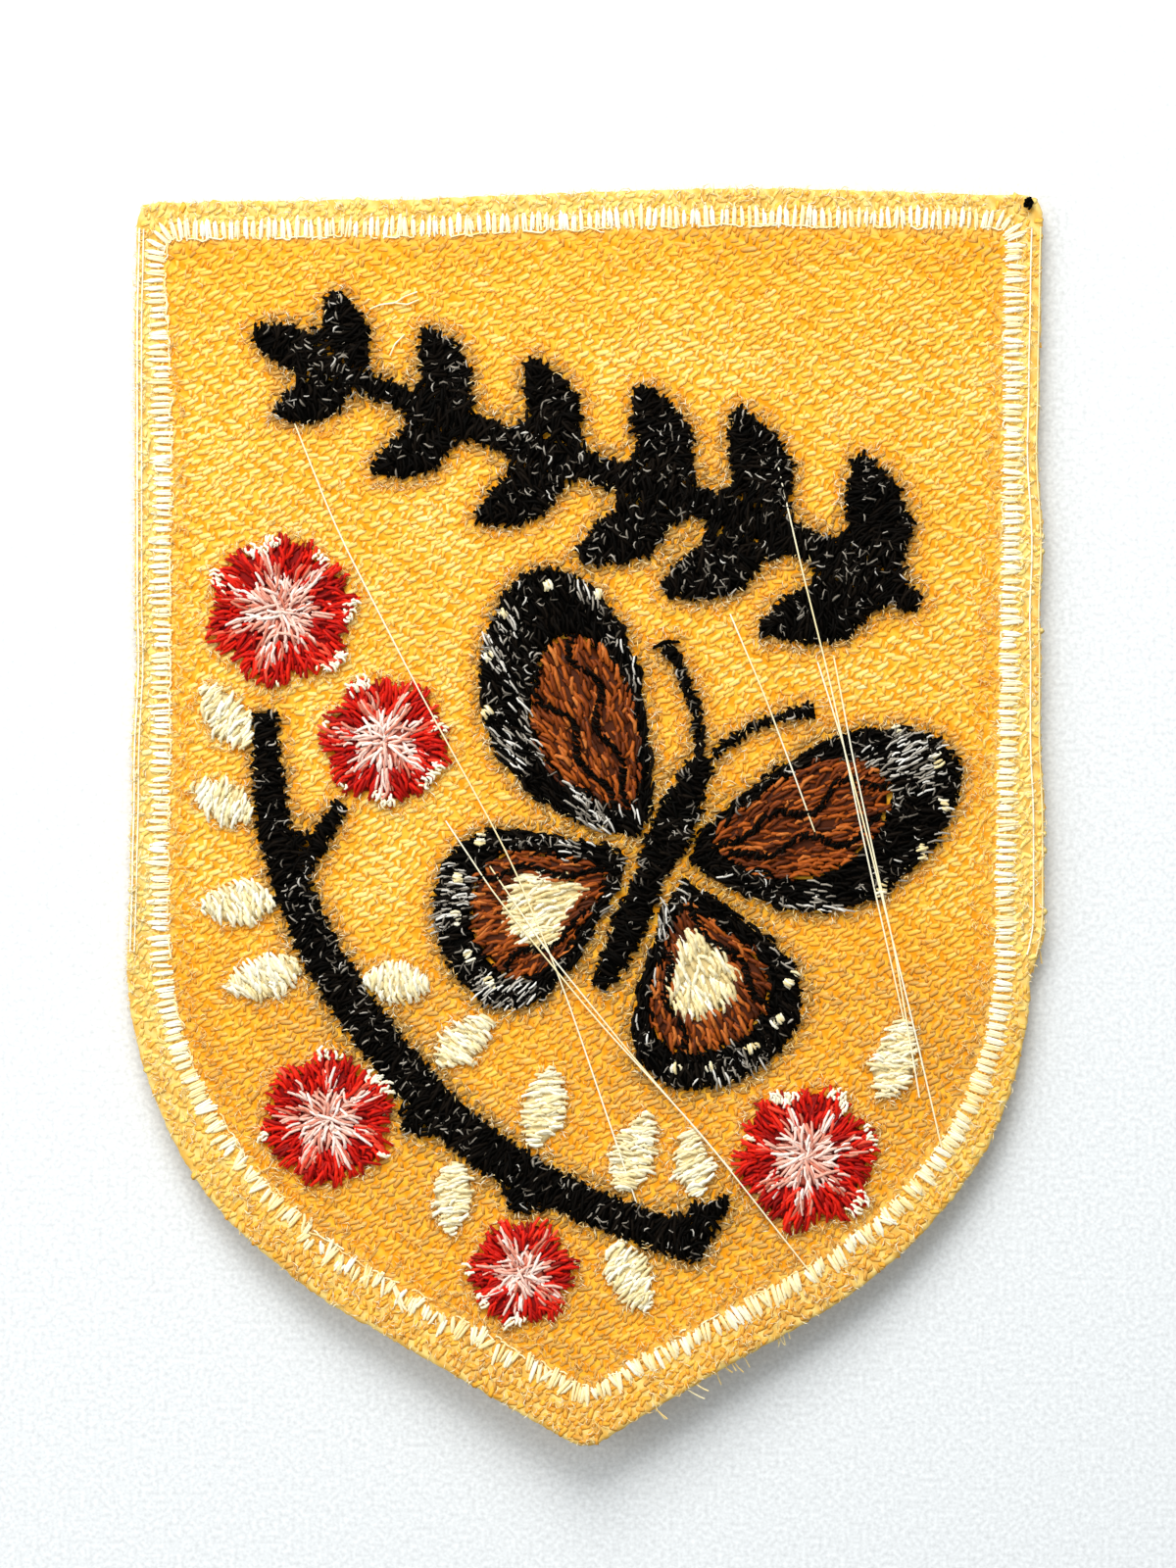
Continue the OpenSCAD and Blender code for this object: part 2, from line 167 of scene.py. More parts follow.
@dataclass(frozen=True)
class Grid:
    """A raster over part of the patch, in millimetres."""

    west: float
    south: float
    columns: int
    rows: int
    cell: float = 0.1

    @classmethod
    def over(cls, triangles: Array, margin: float) -> "Grid":
        """Make the grid that covers triangles and a margin round them.

        Args:
            triangles: their corners, as triangle, corner, axis.
            margin: the margin.

        Returns:
            The grid.
        """
        low, high = triangles[..., :2].min((0, 1)), triangles[..., :2].max((0, 1))
        columns, rows = (int(span / cls.cell) + 1 for span in high - low + 2 * margin)
        return cls(*(low - margin), columns, rows)

    def cells(self, places: Array) -> tuple[Array, Array]:
        """Give the nearest row and column of each place."""
        at = np.rint((places - (self.west, self.south)) / self.cell).astype(int)
        return np.clip(at[..., 1], 0, self.rows - 1), np.clip(at[..., 0], 0, self.columns - 1)

    def read(self, values: Array, places: Array) -> Array:
        """Read a map between its cells.

        Args:
            values: the map.
            places: where it is read.

        Returns:
            Its values there.
        """
        at = (places - (self.west, self.south)) / self.cell
        at = np.clip(at, 0, np.array([self.columns, self.rows]) - 1.001)
        low = at.astype(int)
        u, v = (at - low)[..., 0], (at - low)[..., 1]
        x, y = low[..., 0], low[..., 1]
        return ((values[y, x] * (1 - u) + values[y, x + 1] * u) * (1 - v)
                + (values[y + 1, x] * (1 - u) + values[y + 1, x + 1] * u) * v)

    def places(self, mask: Array) -> Array:
        """Give the places of the cells in a mask."""
        rows, columns = np.nonzero(mask)
        return np.stack([self.west + columns * self.cell, self.south + rows * self.cell], -1)

    def everywhere(self) -> Array:
        """Give the places of all cells, as row, column, axis."""
        shape = (self.rows, self.columns)
        return self.places(np.ones(shape, bool)).reshape(*shape, 2)

    def stamp(self, triangles: Array) -> tuple[Array, Array]:
        """Draw triangles on the raster.

        Args:
            triangles: their corners, as triangle, corner, axis.

        Returns:
            The lowest and the highest height over each cell, infinite where nothing is.
        """
        low = np.full((self.rows, self.columns), np.inf)
        high = -low
        flat = (triangles[..., :2] - (self.west, self.south)) / self.cell
        starts, ends = np.maximum(flat.min(1), 0).astype(int), flat.max(1).astype(int) + 2
        for (a, b, c), (x0, y0), (x1, y1) in zip(triangles, starts, ends):
            area = (b[0] - a[0]) * (c[1] - a[1]) - (c[0] - a[0]) * (b[1] - a[1])
            if abs(area) < 1e-7:
                continue
            window = (slice(y0, y1), slice(x0, x1))
            rows, columns = low[window].shape
            x = self.west + (x0 + np.arange(columns)) * self.cell
            y = (self.south + (y0 + np.arange(rows)) * self.cell)[:, None]
            u = ((b[0] - x) * (c[1] - y) - (c[0] - x) * (b[1] - y)) / area
            v = ((c[0] - x) * (a[1] - y) - (a[0] - x) * (c[1] - y)) / area
            w = 1 - u - v
            height = u * a[2] + v * b[2] + w * c[2]
            inside = (u > -1e-6) & (v > -1e-6) & (w > -1e-6)
            low[window] = np.where(inside, np.minimum(low[window], height), low[window])
            high[window] = np.where(inside, np.maximum(high[window], height), high[window])
        return low, high


def vertices_of(mesh: Mesh) -> Array:
    """Read a mesh's vertices.

    Args:
        mesh: the mesh.

    Returns:
        The vertices, in metres.
    """
    places = np.empty(3 * len(mesh.vertices))
    mesh.vertices.foreach_get("co", places)
    return places.reshape(-1, 3)


def corners_of(node: str) -> Array:
    """Read a solid's triangles.

    Args:
        node: the solid's name.

    Returns:
        Their corners in millimetres, as triangle, corner, axis.
    """
    mesh = frame["nodes"][node].data
    mesh.calc_loop_triangles()
    picks = np.empty(3 * len(mesh.loop_triangles), int)
    mesh.loop_triangles.foreach_get("vertices", picks)
    return (vertices_of(mesh) / MM)[picks].reshape(-1, 3, 3)


def nodes_named(*starts: str) -> list[str]:
    """Give the names of the solids that begin with any of these words."""
    return sorted(name for name in frame["nodes"] if name.startswith(starts))


class Motif:
    """One stitched shape: where it is, and how its stitches run."""

    margin = 1.5
    petal_count = 7
    # Cells that the blurs take in on each side: of the shape, and of its stitches' directions
    shape_blur = 5
    flow_blur = 6

    def __init__(self, grid: Grid, mask: Array, flow: Flow, centre: Array | None = None) -> None:
        """Take a shape.

        Args:
            grid: the raster.
            mask: the shape on it.
            flow: how the stitches run.
            centre: the point that a fan runs out from.
        """
        self.grid = grid
        self.mask = mask
        self.centre = centre
        self.rays = np.ones(mask.shape)
        if flow is Flow.FAN:
            out = self.outwards()
            self.double = np.stack([out[..., 0] ** 2 - out[..., 1] ** 2,
                                    2 * out[..., 0] * out[..., 1]])
        elif flow is Flow.ACROSS:
            spread = np.cov(grid.places(mask).T)
            turn = np.arctan2(-2 * spread[0, 1], spread[1, 1] - spread[0, 0])
            self.double = np.stack([np.full(mask.shape, np.cos(turn)),
                                    np.full(mask.shape, np.sin(turn))])
        else:
            up, right = np.gradient(blurred(mask.astype(float), self.shape_blur))
            self.double = np.stack([blurred(right * right - up * up, self.flow_blur),
                                    blurred(2 * right * up, self.flow_blur)])

    @classmethod
    def read(cls, node: str, flow: Flow, centre: Array | None = None, spare: int = 1) -> "Motif":
        """Read a shape from its solid.

        Args:
            node: the solid's name.
            flow: how the stitches run.
            centre: the point that a fan runs out from.
            spare: cells that the stitches reach past the solid's outline.

        Returns:
            The shape.
        """
        triangles = corners_of(node)
        grid = Grid.over(triangles, cls.margin)
        return cls(grid, grown(np.isfinite(grid.stamp(triangles)[0]), spare), flow, centre)

    def outwards(self) -> Array:
        """Give the step from the centre to each cell, as row, column, axis."""
        return self.grid.everywhere() - self.centre

    def lobed(self, reach: float = 1.0) -> "Motif":
        """Cut a round shape into petals, and note how near each cell is to a petal's middle.

        Args:
            reach: the share of the petals' length that is kept.

        Returns:
            The same shape.
        """
        out = self.outwards()
        away, turn = np.hypot(*out.T).T, np.arctan2(*out.T[::-1]).T
        radius = away[self.mask].max()
        start = self.centre.sum()
        petals = self.petal_count * turn + start + 0.7 * np.sin(2 * turn + start)
        self.rays = np.abs(np.cos(petals / 2)) ** 0.8
        notch = 0.86 + 0.14 * self.rays + 0.03 * np.sin(17 * turn)
        self.mask &= away < notch * radius * reach
        if reach < 1:
            self.rays *= np.clip((reach - away / radius) / 0.3, 0, 1)
        return self

    def holds(self, places: Array) -> Array:
        """Tell which places are in the shape."""
        return self.mask[self.grid.cells(places)]

    def headings(self, places: Array) -> Array:
        """Give the direction of the stitches at places, in radians."""
        return 0.5 * np.arctan2(*(self.grid.read(m, places) for m in self.double[::-1]))

    def lattice(self, density: float, rng: np.random.Generator) -> Array:
        """Spread places evenly but not regularly over the shape.

        Args:
            density: places on a square millimetre.
            rng: the source of chance.

        Returns:
            The places.
        """
        pitch, grid = 1 / math.sqrt(density), self.grid
        across, up = (np.arange(start, start + count * grid.cell, pitch)
                      for start, count in ((grid.west, grid.columns), (grid.south, grid.rows)))
        places = np.stack(np.meshgrid(across, up), -1).reshape(-1, 2)
        places = places + rng.uniform(-0.5, 0.5, places.shape) * pitch
        return places[self.holds(places)]

    def reach(self, places: Array, ways: Array, most: float) -> Array:
        """Measure how far a stitch may run before it leaves the shape.

        Args:
            places: where the stitches start.
            ways: their unit vectors.
            most: the longest run that is tried.

        Returns:
            The runs.
        """
        cell = self.grid.cell
        steps = np.arange(1, int(most / cell) + 1) * cell
        inside = self.holds(places[:, None] + ways[:, None] * steps[:, None])
        return np.where(inside.all(1), most, steps[inside.argmin(1)])


class Patch:
    """Maps of the whole patch: the cloth's two surfaces, its cut edge, and what is stitched."""

    node = "ground_cloth"
    margin = 2.0
    # The farthest that an edge lies from the middle, and the step that finds it
    farthest = 51.0
    probe = 0.04
    # Steps that are counted inwards from the cut edge, and how far one goes in cells
    inward_steps = 80
    inward_step = 1.15
    # Cells that the blurs of the cloth's heights take in: on the cloth, and past its edge
    near_blur = 8
    wide_blur = 30

    def __init__(self) -> None:
        """Read the cloth's maps from its solid."""
        triangles = corners_of(self.node)
        self.grid = Grid.over(triangles, self.margin)
        low, high = self.grid.stamp(triangles)
        self.cloth = np.isfinite(low)
        self.under, self.top = self.spread(low), self.spread(high)
        self.stitched = np.zeros_like(self.cloth)
        self.dark = np.zeros_like(self.cloth)
        self.inset = self.edge_distance()

    def spread(self, heights: Array) -> Array:
        """Smooth a height map, and carry it on past the cut edge.

        Args:
            heights: the map, infinite where no cloth is.

        Returns:
            The smooth map.
        """
        known = self.cloth.astype(float)
        values = np.where(self.cloth, heights, 0.0)
        share, wide_share = (blurred(known, k) for k in (self.near_blur, self.wide_blur))
        near = blurred(values, self.near_blur) / np.maximum(share, 1e-6)
        wide = blurred(values, self.wide_blur) / np.maximum(wide_share, 1e-6)
        return np.where(share > 0.02, near, wide)

    def edge_distance(self) -> Array:
        """Measure how far each cell lies inside the cut edge.

        Returns:
            The distances, which stop at about 9 mm.
        """
        total = np.zeros(self.cloth.shape)
        inside = self.cloth
        for _ in range(self.inward_steps):
            total += inside
            inside = grown(inside, -1)
        return total * self.grid.cell * self.inward_step

    def mark(self, motif: Motif, dark: bool) -> None:
        """Note where a motif is stitched.

        Args:
            motif: the motif.
            dark: whether its thread is dark.
        """
        rows, columns = self.grid.cells(motif.grid.places(motif.mask))
        self.stitched[rows, columns] = True
        if dark:
            self.dark[rows, columns] = True

    def loop(self, mask: Array, spokes: int = 1600, reach: int = 4) -> tuple[Array, Array]:
        """Follow the inner and the outer edge of a ring round the patch.

        Args:
            mask: the ring.
            spokes: points on each edge.
            reach: neighbours that the smoothing takes in on each side.

        Returns:
            The inner edge and the outer edge, counterclockwise.
        """
        ways = along(np.linspace(0, 2 * math.pi, spokes, endpoint=False))
        steps = np.arange(0, self.farthest, self.probe)
        inside = mask[self.grid.cells(ways[:, None] * steps[:, None])]
        inner = steps[inside.argmax(1)]
        outer = steps[len(steps) - 1 - inside[:, ::-1].argmax(1)]
        return tuple(closed_smooth(ways * run[:, None], reach) for run in (inner, outer))

    def drape(self, mesh: Mesh) -> None:
        """Lay a flat mesh on the cloth, on the back or the face, by its own side.

        Args:
            mesh: the mesh, with heights off the cloth.
        """
        places = vertices_of(mesh)
        side = np.empty(len(mesh.vertices))
        mesh.attributes["side"].data.foreach_get("value", side)
        at = places[:, :2] / MM
        cloth = np.where(side > 0, self.grid.read(self.top, at), self.grid.read(self.under, at))
        places[:, 2] += cloth * MM
        mesh.vertices.foreach_set("co", places.ravel())
        mesh.update()


def closed_smooth(loop: Array, reach: int) -> Array:
    """Smooth a closed line over its neighbours."""
    return sum(np.roll(loop, k, 0) for k in range(-reach, reach + 1)) / (2 * reach + 1)


def evenly(loop: Array, pitch: float) -> tuple[Array, Array]:
    """Step round a closed line.

    Args:
        loop: the line's points.
        pitch: about how far apart the steps are.

    Returns:
        The steps, and the unit vectors that point outwards there.
    """
    closed = np.vstack([loop, loop[:1]])
    run = np.concatenate([[0], np.cumsum(np.linalg.norm(np.diff(closed, axis=0), axis=1))])
    stations = np.linspace(0, run[-1], int(run[-1] / pitch), endpoint=False)
    steps = np.stack([np.interp(stations, run, closed[:, k]) for k in (0, 1)], -1)
    ahead = closed_smooth(np.roll(steps, -1, 0) - np.roll(steps, 1, 0), 2)
    ahead /= np.linalg.norm(ahead, axis=1, keepdims=True)
    return steps, np.stack([ahead[:, 1], -ahead[:, 0]], -1)


@dataclass
class Socket:
    """A node's output that is written as a number or a vector in Python."""

    sheet: "NodeSheet"
    socket: NodeSocket

    def __add__(self, other: Any) -> "Socket":
        """Add a value or an output."""
        return self.sheet.maths("ADD", self, other)

    def __mul__(self, other: Any) -> "Socket":
        """Multiply by a value or an output."""
        return self.sheet.maths("MULTIPLY", self, other)

    def __sub__(self, other: Any) -> "Socket":
        """Take a value or an output away."""
        return self.sheet.maths("SUBTRACT", self, other)

    def __rsub__(self, other: Any) -> "Socket":
        """Take this away from a value."""
        return self.sheet.maths("SUBTRACT", other, self)

    __radd__ = __add__
    __rmul__ = __mul__


@dataclass
class NodeSheet:
    """Adds nodes to a tree by their type, settings and socket values."""

    tree: NodeTree

    def add(self, kind: str, settings: dict[str, Any] | None = None,
            values: dict[str | int, Any] | None = None, out: str | int = 0) -> Socket:
        """Add a node.

        Args:
            kind: the node's type.
            settings: its own properties, set first. "stops" are a ramp's places and colours.
            values: values or links of its sockets, by name, identifier or number.
            out: the output that is given back.

        Returns:
            The output.
        """
        node = self.tree.nodes.new(kind)
        for name, value in (settings or {}).items():
            if name == "stops":
                self.set_stops(node.color_ramp, value)
            else:
                setattr(node, name, value)
        for key, value in (values or {}).items():
            self.feed(self.find(node.inputs, key), value)
        return Socket(self, self.find(node.outputs, out))

    @staticmethod
    def find(sockets: Any, key: str | int) -> NodeSocket:
        """Find a socket.

        Args:
            sockets: the sockets of one side of a node.
            key: its number, identifier or name.

        Returns:
            The socket.
        """
        if isinstance(key, int):
            return sockets[key]
        return next((s for s in sockets if s.identifier == key), None) or sockets[key]

    @staticmethod
    def set_stops(colours: ColorRamp, stops: Stops) -> None:
        """Give a ramp its stops.

        Args:
            colours: the ramp.
            stops: its places and colours.
        """
        while len(colours.elements) < len(stops):
            colours.elements.new(0.5)
        for element, (place, colour) in zip(colours.elements, stops):
            element.position = place
            element.color = (*colour, 1)

    def feed(self, socket: NodeSocket, value: Any) -> None:
        """Set a socket's value, or link an output to it.

        Args:
            socket: the socket.
            value: a value or an output.
        """
        if isinstance(value, Socket):
            self.tree.links.new(value.socket, socket)
        elif isinstance(value, tuple) and socket.type == "RGBA":
            socket.default_value = (*value[:3], 1)
        else:
            socket.default_value = value

    def maths(self, operation: str, *values: Any) -> Socket:
        """Add a Math node on numbers."""
        return self.add("ShaderNodeMath", {"operation": operation}, dict(enumerate(values)))

    def vector(self, x: Any, y: Any, z: Any = 0.0) -> Socket:
        """Join three numbers into a vector."""
        return self.add("ShaderNodeCombineXYZ", None, {"X": x, "Y": y, "Z": z})

    def mix(self, share: Any, low: Any, high: Any, blend: str = "MIX") -> Socket:
        """Mix two colours."""
        return self.add("ShaderNodeMix", {"data_type": "RGBA", "blend_type": blend},
                        {"Factor_Float": share, "A_Color": low, "B_Color": high},
                        "Result_Color")

    def coloured(self, tone: Socket, stops: Stops) -> Socket:
        """Turn a tone into a colour."""
        return self.add("ShaderNodeValToRGB", {"stops": stops}, {"Fac": tone})

    def noise(self, place: Socket, scale: float, detail: float, **settings: Any) -> Socket:
        """Add a noise texture."""
        return self.add("ShaderNodeTexNoise", settings,
                        {"Vector": place, "Scale": scale, "Detail": detail})

    def shaded(self, colour: Any, shade: Socket) -> Socket:
        """Make a colour lighter or darker by a number."""
        return self.mix(1.0, colour, self.vector(shade, shade, shade), "MULTIPLY")


class GeometryTree(NodeSheet):
    """A Geometry Nodes tree with named inputs."""

    def __init__(self, name: str) -> None:
        """Start a tree that takes and gives geometry.

        Args:
            name: its name.
        """
        super().__init__(bpy.data.node_groups.new(name, "GeometryNodeTree"))
        self.given = self.tree.nodes.new("NodeGroupInput")
        self.result = self.tree.nodes.new("NodeGroupOutput")
        self.tree.interface.new_socket("Geometry", in_out="OUTPUT",
                                       socket_type="NodeSocketGeometry")
        self.geometry = self.input("Geometry", "NodeSocketGeometry")

    def input(self, name: str, kind: str, value: Any = None) -> Socket:
        """Add a named input.

        Args:
            name: the input's name.
            kind: its socket type.
            value: what it holds unless a modifier says otherwise.

        Returns:
            Its output inside the tree.
        """
        item = self.tree.interface.new_socket(name, in_out="INPUT", socket_type=kind)
        if value is not None:
            item.default_value = value
        return Socket(self, self.given.outputs[name])

    def named(self, name: str, kind: str = "FLOAT") -> Socket:
        """Read an attribute of the geometry."""
        return self.add("GeometryNodeInputNamedAttribute", {"data_type": kind}, {"Name": name})

    def mapped(self, geometry: Socket, tone: Socket, across: Socket, run: Socket) -> Socket:
        """Give threads their map: a strip for each tone, as wide as the thread is round.

        Args:
            geometry: the threads.
            tone: how light each is, from 0 to 1.
            across: the place across the thread, from -1 to 1.
            run: the place along it, from 0 to 1.

        Returns:
            The threads with their map.
        """
        strip = self.maths("FLOOR", tone * (STRIPS - 0.001))
        place = self.vector((strip + 0.5 + across * 0.46) * (1 / STRIPS), run * 0.96 + 0.02)
        return self.add("GeometryNodeStoreNamedAttribute",
                        {"data_type": "FLOAT2", "domain": "CORNER"},
                        {"Geometry": geometry, "Name": BAKE_MAP, "Value": place})

    def finish(self, geometry: Socket, finish: Socket) -> None:
        """End the tree with Realize Instances and Set Material.

        Args:
            geometry: what the tree has made.
            finish: its material.
        """
        plain = self.add("GeometryNodeRealizeInstances", None, {"Geometry": geometry})
        corners = self.add("GeometryNodeInputMeshFaceNeighbors", out="Vertex Count")
        smooth_faces = self.add("GeometryNodeSetShadeSmooth", None, {
            "Geometry": plain, "Selection": self.maths("LESS_THAN", corners, 4.5)})
        dressed = self.add("GeometryNodeSetMaterial", None,
                           {"Geometry": smooth_faces, "Material": finish})
        self.tree.links.new(dressed.socket, self.result.inputs[0])

    def run(self, carrier: Object, **inputs: Any) -> None:
        """Run the tree on an object, and turn the result into its plain mesh.

        Args:
            carrier: the object that carries the points or lines.
            inputs: the tree's inputs.
        """
        modifier = carrier.modifiers.new(self.tree.name, "NODES")
        modifier.node_group = self.tree
        sockets = {item.name: item.identifier for item in self.tree.interface.items_tree}
        for name, value in inputs.items():
            modifier[sockets[name]] = value
        graph = bpy.context.evaluated_depsgraph_get()
        mesh = bpy.data.meshes.new_from_object(
            carrier.evaluated_get(graph), preserve_all_data_layers=True, depsgraph=graph)
        carrier.modifiers.clear()
        points, carrier.data = carrier.data, mesh
        bpy.data.meshes.remove(points)


def scatter_tree() -> GeometryTree:
    """Build the tree that sets a shape on each point: floats, stitches, flecks and fuzz.

    Returns:
        The tree.
    """
    tree = GeometryTree("laid threads")
    shapes = tree.input("Shapes", "NodeSocketCollection")
    underlay = tree.input("Underlay", "NodeSocketObject")
    finish = tree.input("Finish", "NodeSocketMaterial")
    wander = tree.input("Wander", "NodeSocketFloat", 0.0)
    unevenness = tree.input("Unevenness", "NodeSocketFloat", 0.0)
    seed = tree.input("Seed", "NodeSocketInt", 1)

    def chance(most: Socket, offset: int) -> Socket:
        """Draw a number between -most and most for each point."""
        drawn = tree.add("FunctionNodeRandomValue", {"data_type": "FLOAT"},
                         {"Min_001": -1.0, "Max_001": 1.0, "Seed": seed + offset},
                         out="Value_001")
        return drawn * most

    turn = tree.add("ShaderNodeVectorMath", {"operation": "ADD"},
                    {0: tree.named("turn", "FLOAT_VECTOR"),
                     1: tree.vector(0, 0, chance(wander, 0))})
    size = tree.add("ShaderNodeVectorMath", {"operation": "SCALE"},
                    {"Vector": tree.named("size", "FLOAT_VECTOR"),
                     "Scale": chance(unevenness, 7) + 1})
    choice = tree.add("GeometryNodeCollectionInfo", None,
                      {"Collection": shapes, "Separate Children": True, "Reset Children": True})
    laid = tree.add("GeometryNodeInstanceOnPoints", None, {
        "Points": tree.geometry, "Instance": choice, "Pick Instance": True,
        "Instance Index": tree.named("kind", "INT"), "Scale": size,
        "Rotation": tree.add("FunctionNodeEulerToRotation", None, {"Euler": turn})})
    plain = tree.add("GeometryNodeRealizeInstances", None, {"Geometry": laid})
    below = tree.add("GeometryNodeObjectInfo", None, {"Object": underlay}, out="Geometry")
    joined = tree.add("GeometryNodeJoinGeometry")
    for part in (plain, below):
        tree.tree.links.new(part.socket, joined.socket.node.inputs[0])
    run = tree.named("along") * tree.named("run")
    mapped = tree.mapped(joined, tree.named("tone"), tree.named("across"), run)
    tree.finish(mapped, finish)
    return tree


def strand_tree() -> GeometryTree:
    """Build the tree that turns lines into round threads.

    Returns:
        The tree.
    """
    tree = GeometryTree("drawn threads")
    finish = tree.input("Finish", "NodeSocketMaterial")
    sides = tree.input("Sides", "NodeSocketInt", 5)
    line = tree.add("GeometryNodeMeshToCurve", None, {"Mesh": tree.geometry})
    ring = tree.add("GeometryNodeCurvePrimitiveCircle", None,
                    {"Resolution": sides, "Radius": 1.0}, out="Curve")
    around = tree.add("GeometryNodeSplineParameter", out="Factor")
    marked = tree.add("GeometryNodeStoreNamedAttribute",
                      {"data_type": "FLOAT", "domain": "POINT"},
                      {"Geometry": ring, "Name": "around",
                       "Value": tree.maths("COSINE", around * (2 * math.pi))})
    threads = tree.add("GeometryNodeCurveToMesh", None, {
        "Curve": line, "Profile Curve": marked, "Fill Caps": True,
        "Scale": tree.named("radius")})
    mapped = tree.mapped(threads, tree.named("tone"), tree.named("around"),
                         tree.named("along"))
    tree.finish(mapped, finish)
    return tree


def give_numbers(mesh: Mesh, numbers: dict[str, Array]) -> None:
    """Give a mesh's vertices attributes.

    Args:
        mesh: the mesh.
        numbers: the attributes, one number or three for each vertex.
    """
    for key, values in numbers.items():
        kind = ("FLOAT_VECTOR" if values.ndim > 1 else
                "INT" if values.dtype.kind == "i" else "FLOAT")
        layer = mesh.attributes.new(key, kind, "POINT")
        layer.data.foreach_set("vector" if values.ndim > 1 else "value", values.ravel())


def mesh_object(name: str, points: Array, edges: Any = (), faces: Any = (),
                numbers: dict[str, Array] | None = None) -> Object:
    """Make a mesh object.

    Args:
        name: its name.
        points: its vertices.
        edges: its loose edges.
        faces: its faces.
        numbers: attributes of its vertices, one number or three each.

    Returns:
        The object, in no collection.
    """
    mesh = bpy.data.meshes.new(name)
    mesh.from_pydata(np.asarray(points, float).tolist(), list(edges), list(faces))
    give_numbers(mesh, numbers or {})
    mesh.update()
    return bpy.data.objects.new(name, mesh)


def placed(item: Object) -> Object:
    """Put an object in the scene."""
    bpy.context.scene.collection.objects.link(item)
    return item


def tube(path: Array, radii: Sequence[float], sides: int, upright: bool = False) -> Shape:
    """Make a closed thread along a path that ends in two points.

    Args:
        path: the path's points. The first and the last are the thread's ends.
        radii: the thread's half thickness at the points between them.
        sides: sides of the thread.
        upright: whether its rings stand square to x, for a thread that is stretched later.

    Returns:
        Its vertices and faces.
    """
    path = np.asarray(path, float)
    angles = math.pi / 2 + 2 * math.pi * np.arange(sides) / sides
    points, faces = [tuple(path[0])], []
    for k, radius in enumerate(radii, 1):
        ahead = np.array([1.0, 0, 0]) if upright else path[k + 1] - path[k - 1]
        across = np.cross((0, 0, 1), ahead / np.linalg.norm(ahead))
        across /= np.linalg.norm(across)
        up = np.cross(ahead / np.linalg.norm(ahead), across)
        points += [tuple(path[k] + radius * (across * math.cos(a) + up * math.sin(a)))
                   for a in angles]
    points.append(tuple(path[-1]))
    last, rings = len(points) - 1, len(radii)
    for side in range(sides):
        a, b = 1 + side, 1 + (side + 1) % sides
        faces.append((0, b, a))
        for k in range(rings - 1):
            faces.append((a + k * sides, b + k * sides, b + (k + 1) * sides, a + (k + 1) * sides))
        faces.append((a + (rings - 1) * sides, b + (rings - 1) * sides, last))
    return points, faces


class ShapeBox:
    """Small shapes that Geometry Nodes set down thousands of times."""

    def __init__(self, name: str) -> None:
        """Start an empty box."""
        self.collection = bpy.data.collections.new(name)

    def keep(self, shape: Shape) -> None:
        """Keep a shape that is one unit long, with its map from its own place.

        Args:
            shape: its vertices and faces.
        """
        points = np.asarray(shape[0], float)
        half = max(abs(points[:, 1]).max(), 1e-6)
        item = mesh_object(f"{self.collection.name} {len(self.collection.objects)}", points,
                           faces=shape[1],
                           numbers={"along": np.clip(points[:, 0] + 0.5, 0, 1),
                                    "across": points[:, 1] / half})
        solid = bmesh.new()
        solid.from_mesh(item.data)
        bmesh.ops.recalc_face_normals(solid, faces=solid.faces)
        solid.to_mesh(item.data)
        solid.free()
        self.collection.objects.link(item)

    def empty(self) -> None:
        """Throw the shapes away."""
        for item in list(self.collection.objects):
            bpy.data.meshes.remove(item.data)
        bpy.data.collections.remove(self.collection)


def bent_box(name: str, paths: Sequence[Any], radii: Sequence[float], sides: int = 3,
             upright: bool = False) -> ShapeBox:
    """Make threads one unit long that are bent in several ways.

    Args:
        name: the box's name.
        paths: the threads' paths.
        radii: their half thickness at the points between the ends.
        sides: their sides.
        upright: whether their rings stand square to x.

    Returns:
        The box of shapes.
    """
    box = ShapeBox(name)
    for path in paths:
        box.keep(tube(path, radii, sides, upright))
    return box


def float_box(sides: int) -> ShapeBox:
    """Make twill floats one unit long and wide, flat below and crowned above.

    Args:
        sides: corners of their outline.

    Returns:
        The box of shapes.
    """
    box = ShapeBox(f"float {sides}")
    for lean in (0.05, 0.24, -0.16):
        turns = [2 * math.pi * (k + 0.5) / sides for k in range(sides)]
        rim = [(math.copysign(0.5 * abs(math.cos(t)) ** 0.55, math.cos(t)),
                math.copysign(0.5 * abs(math.sin(t)) ** 0.75, math.sin(t))
                + lean * math.cos(t), -0.2) for t in turns]
        crown = [(-0.26, -0.45 * lean, 0.84), (0.06, 0.05, 1.0), (0.3, 0.5 * lean, 0.78)]
        points = rim + crown
        faces = [tuple(range(sides - 1, -1, -1))]
        nearest = [min(range(3), key=lambda c: abs(crown[c][0] - p[0])) for p in rim]
        for k in range(sides):
            a, b = nearest[k], nearest[(k + 1) % sides]
            faces.append((k, (k + 1) % sides, sides + b))
            if a != b:
                faces.append((k, sides + b, sides + a))
        box.keep((points, faces))
    return box


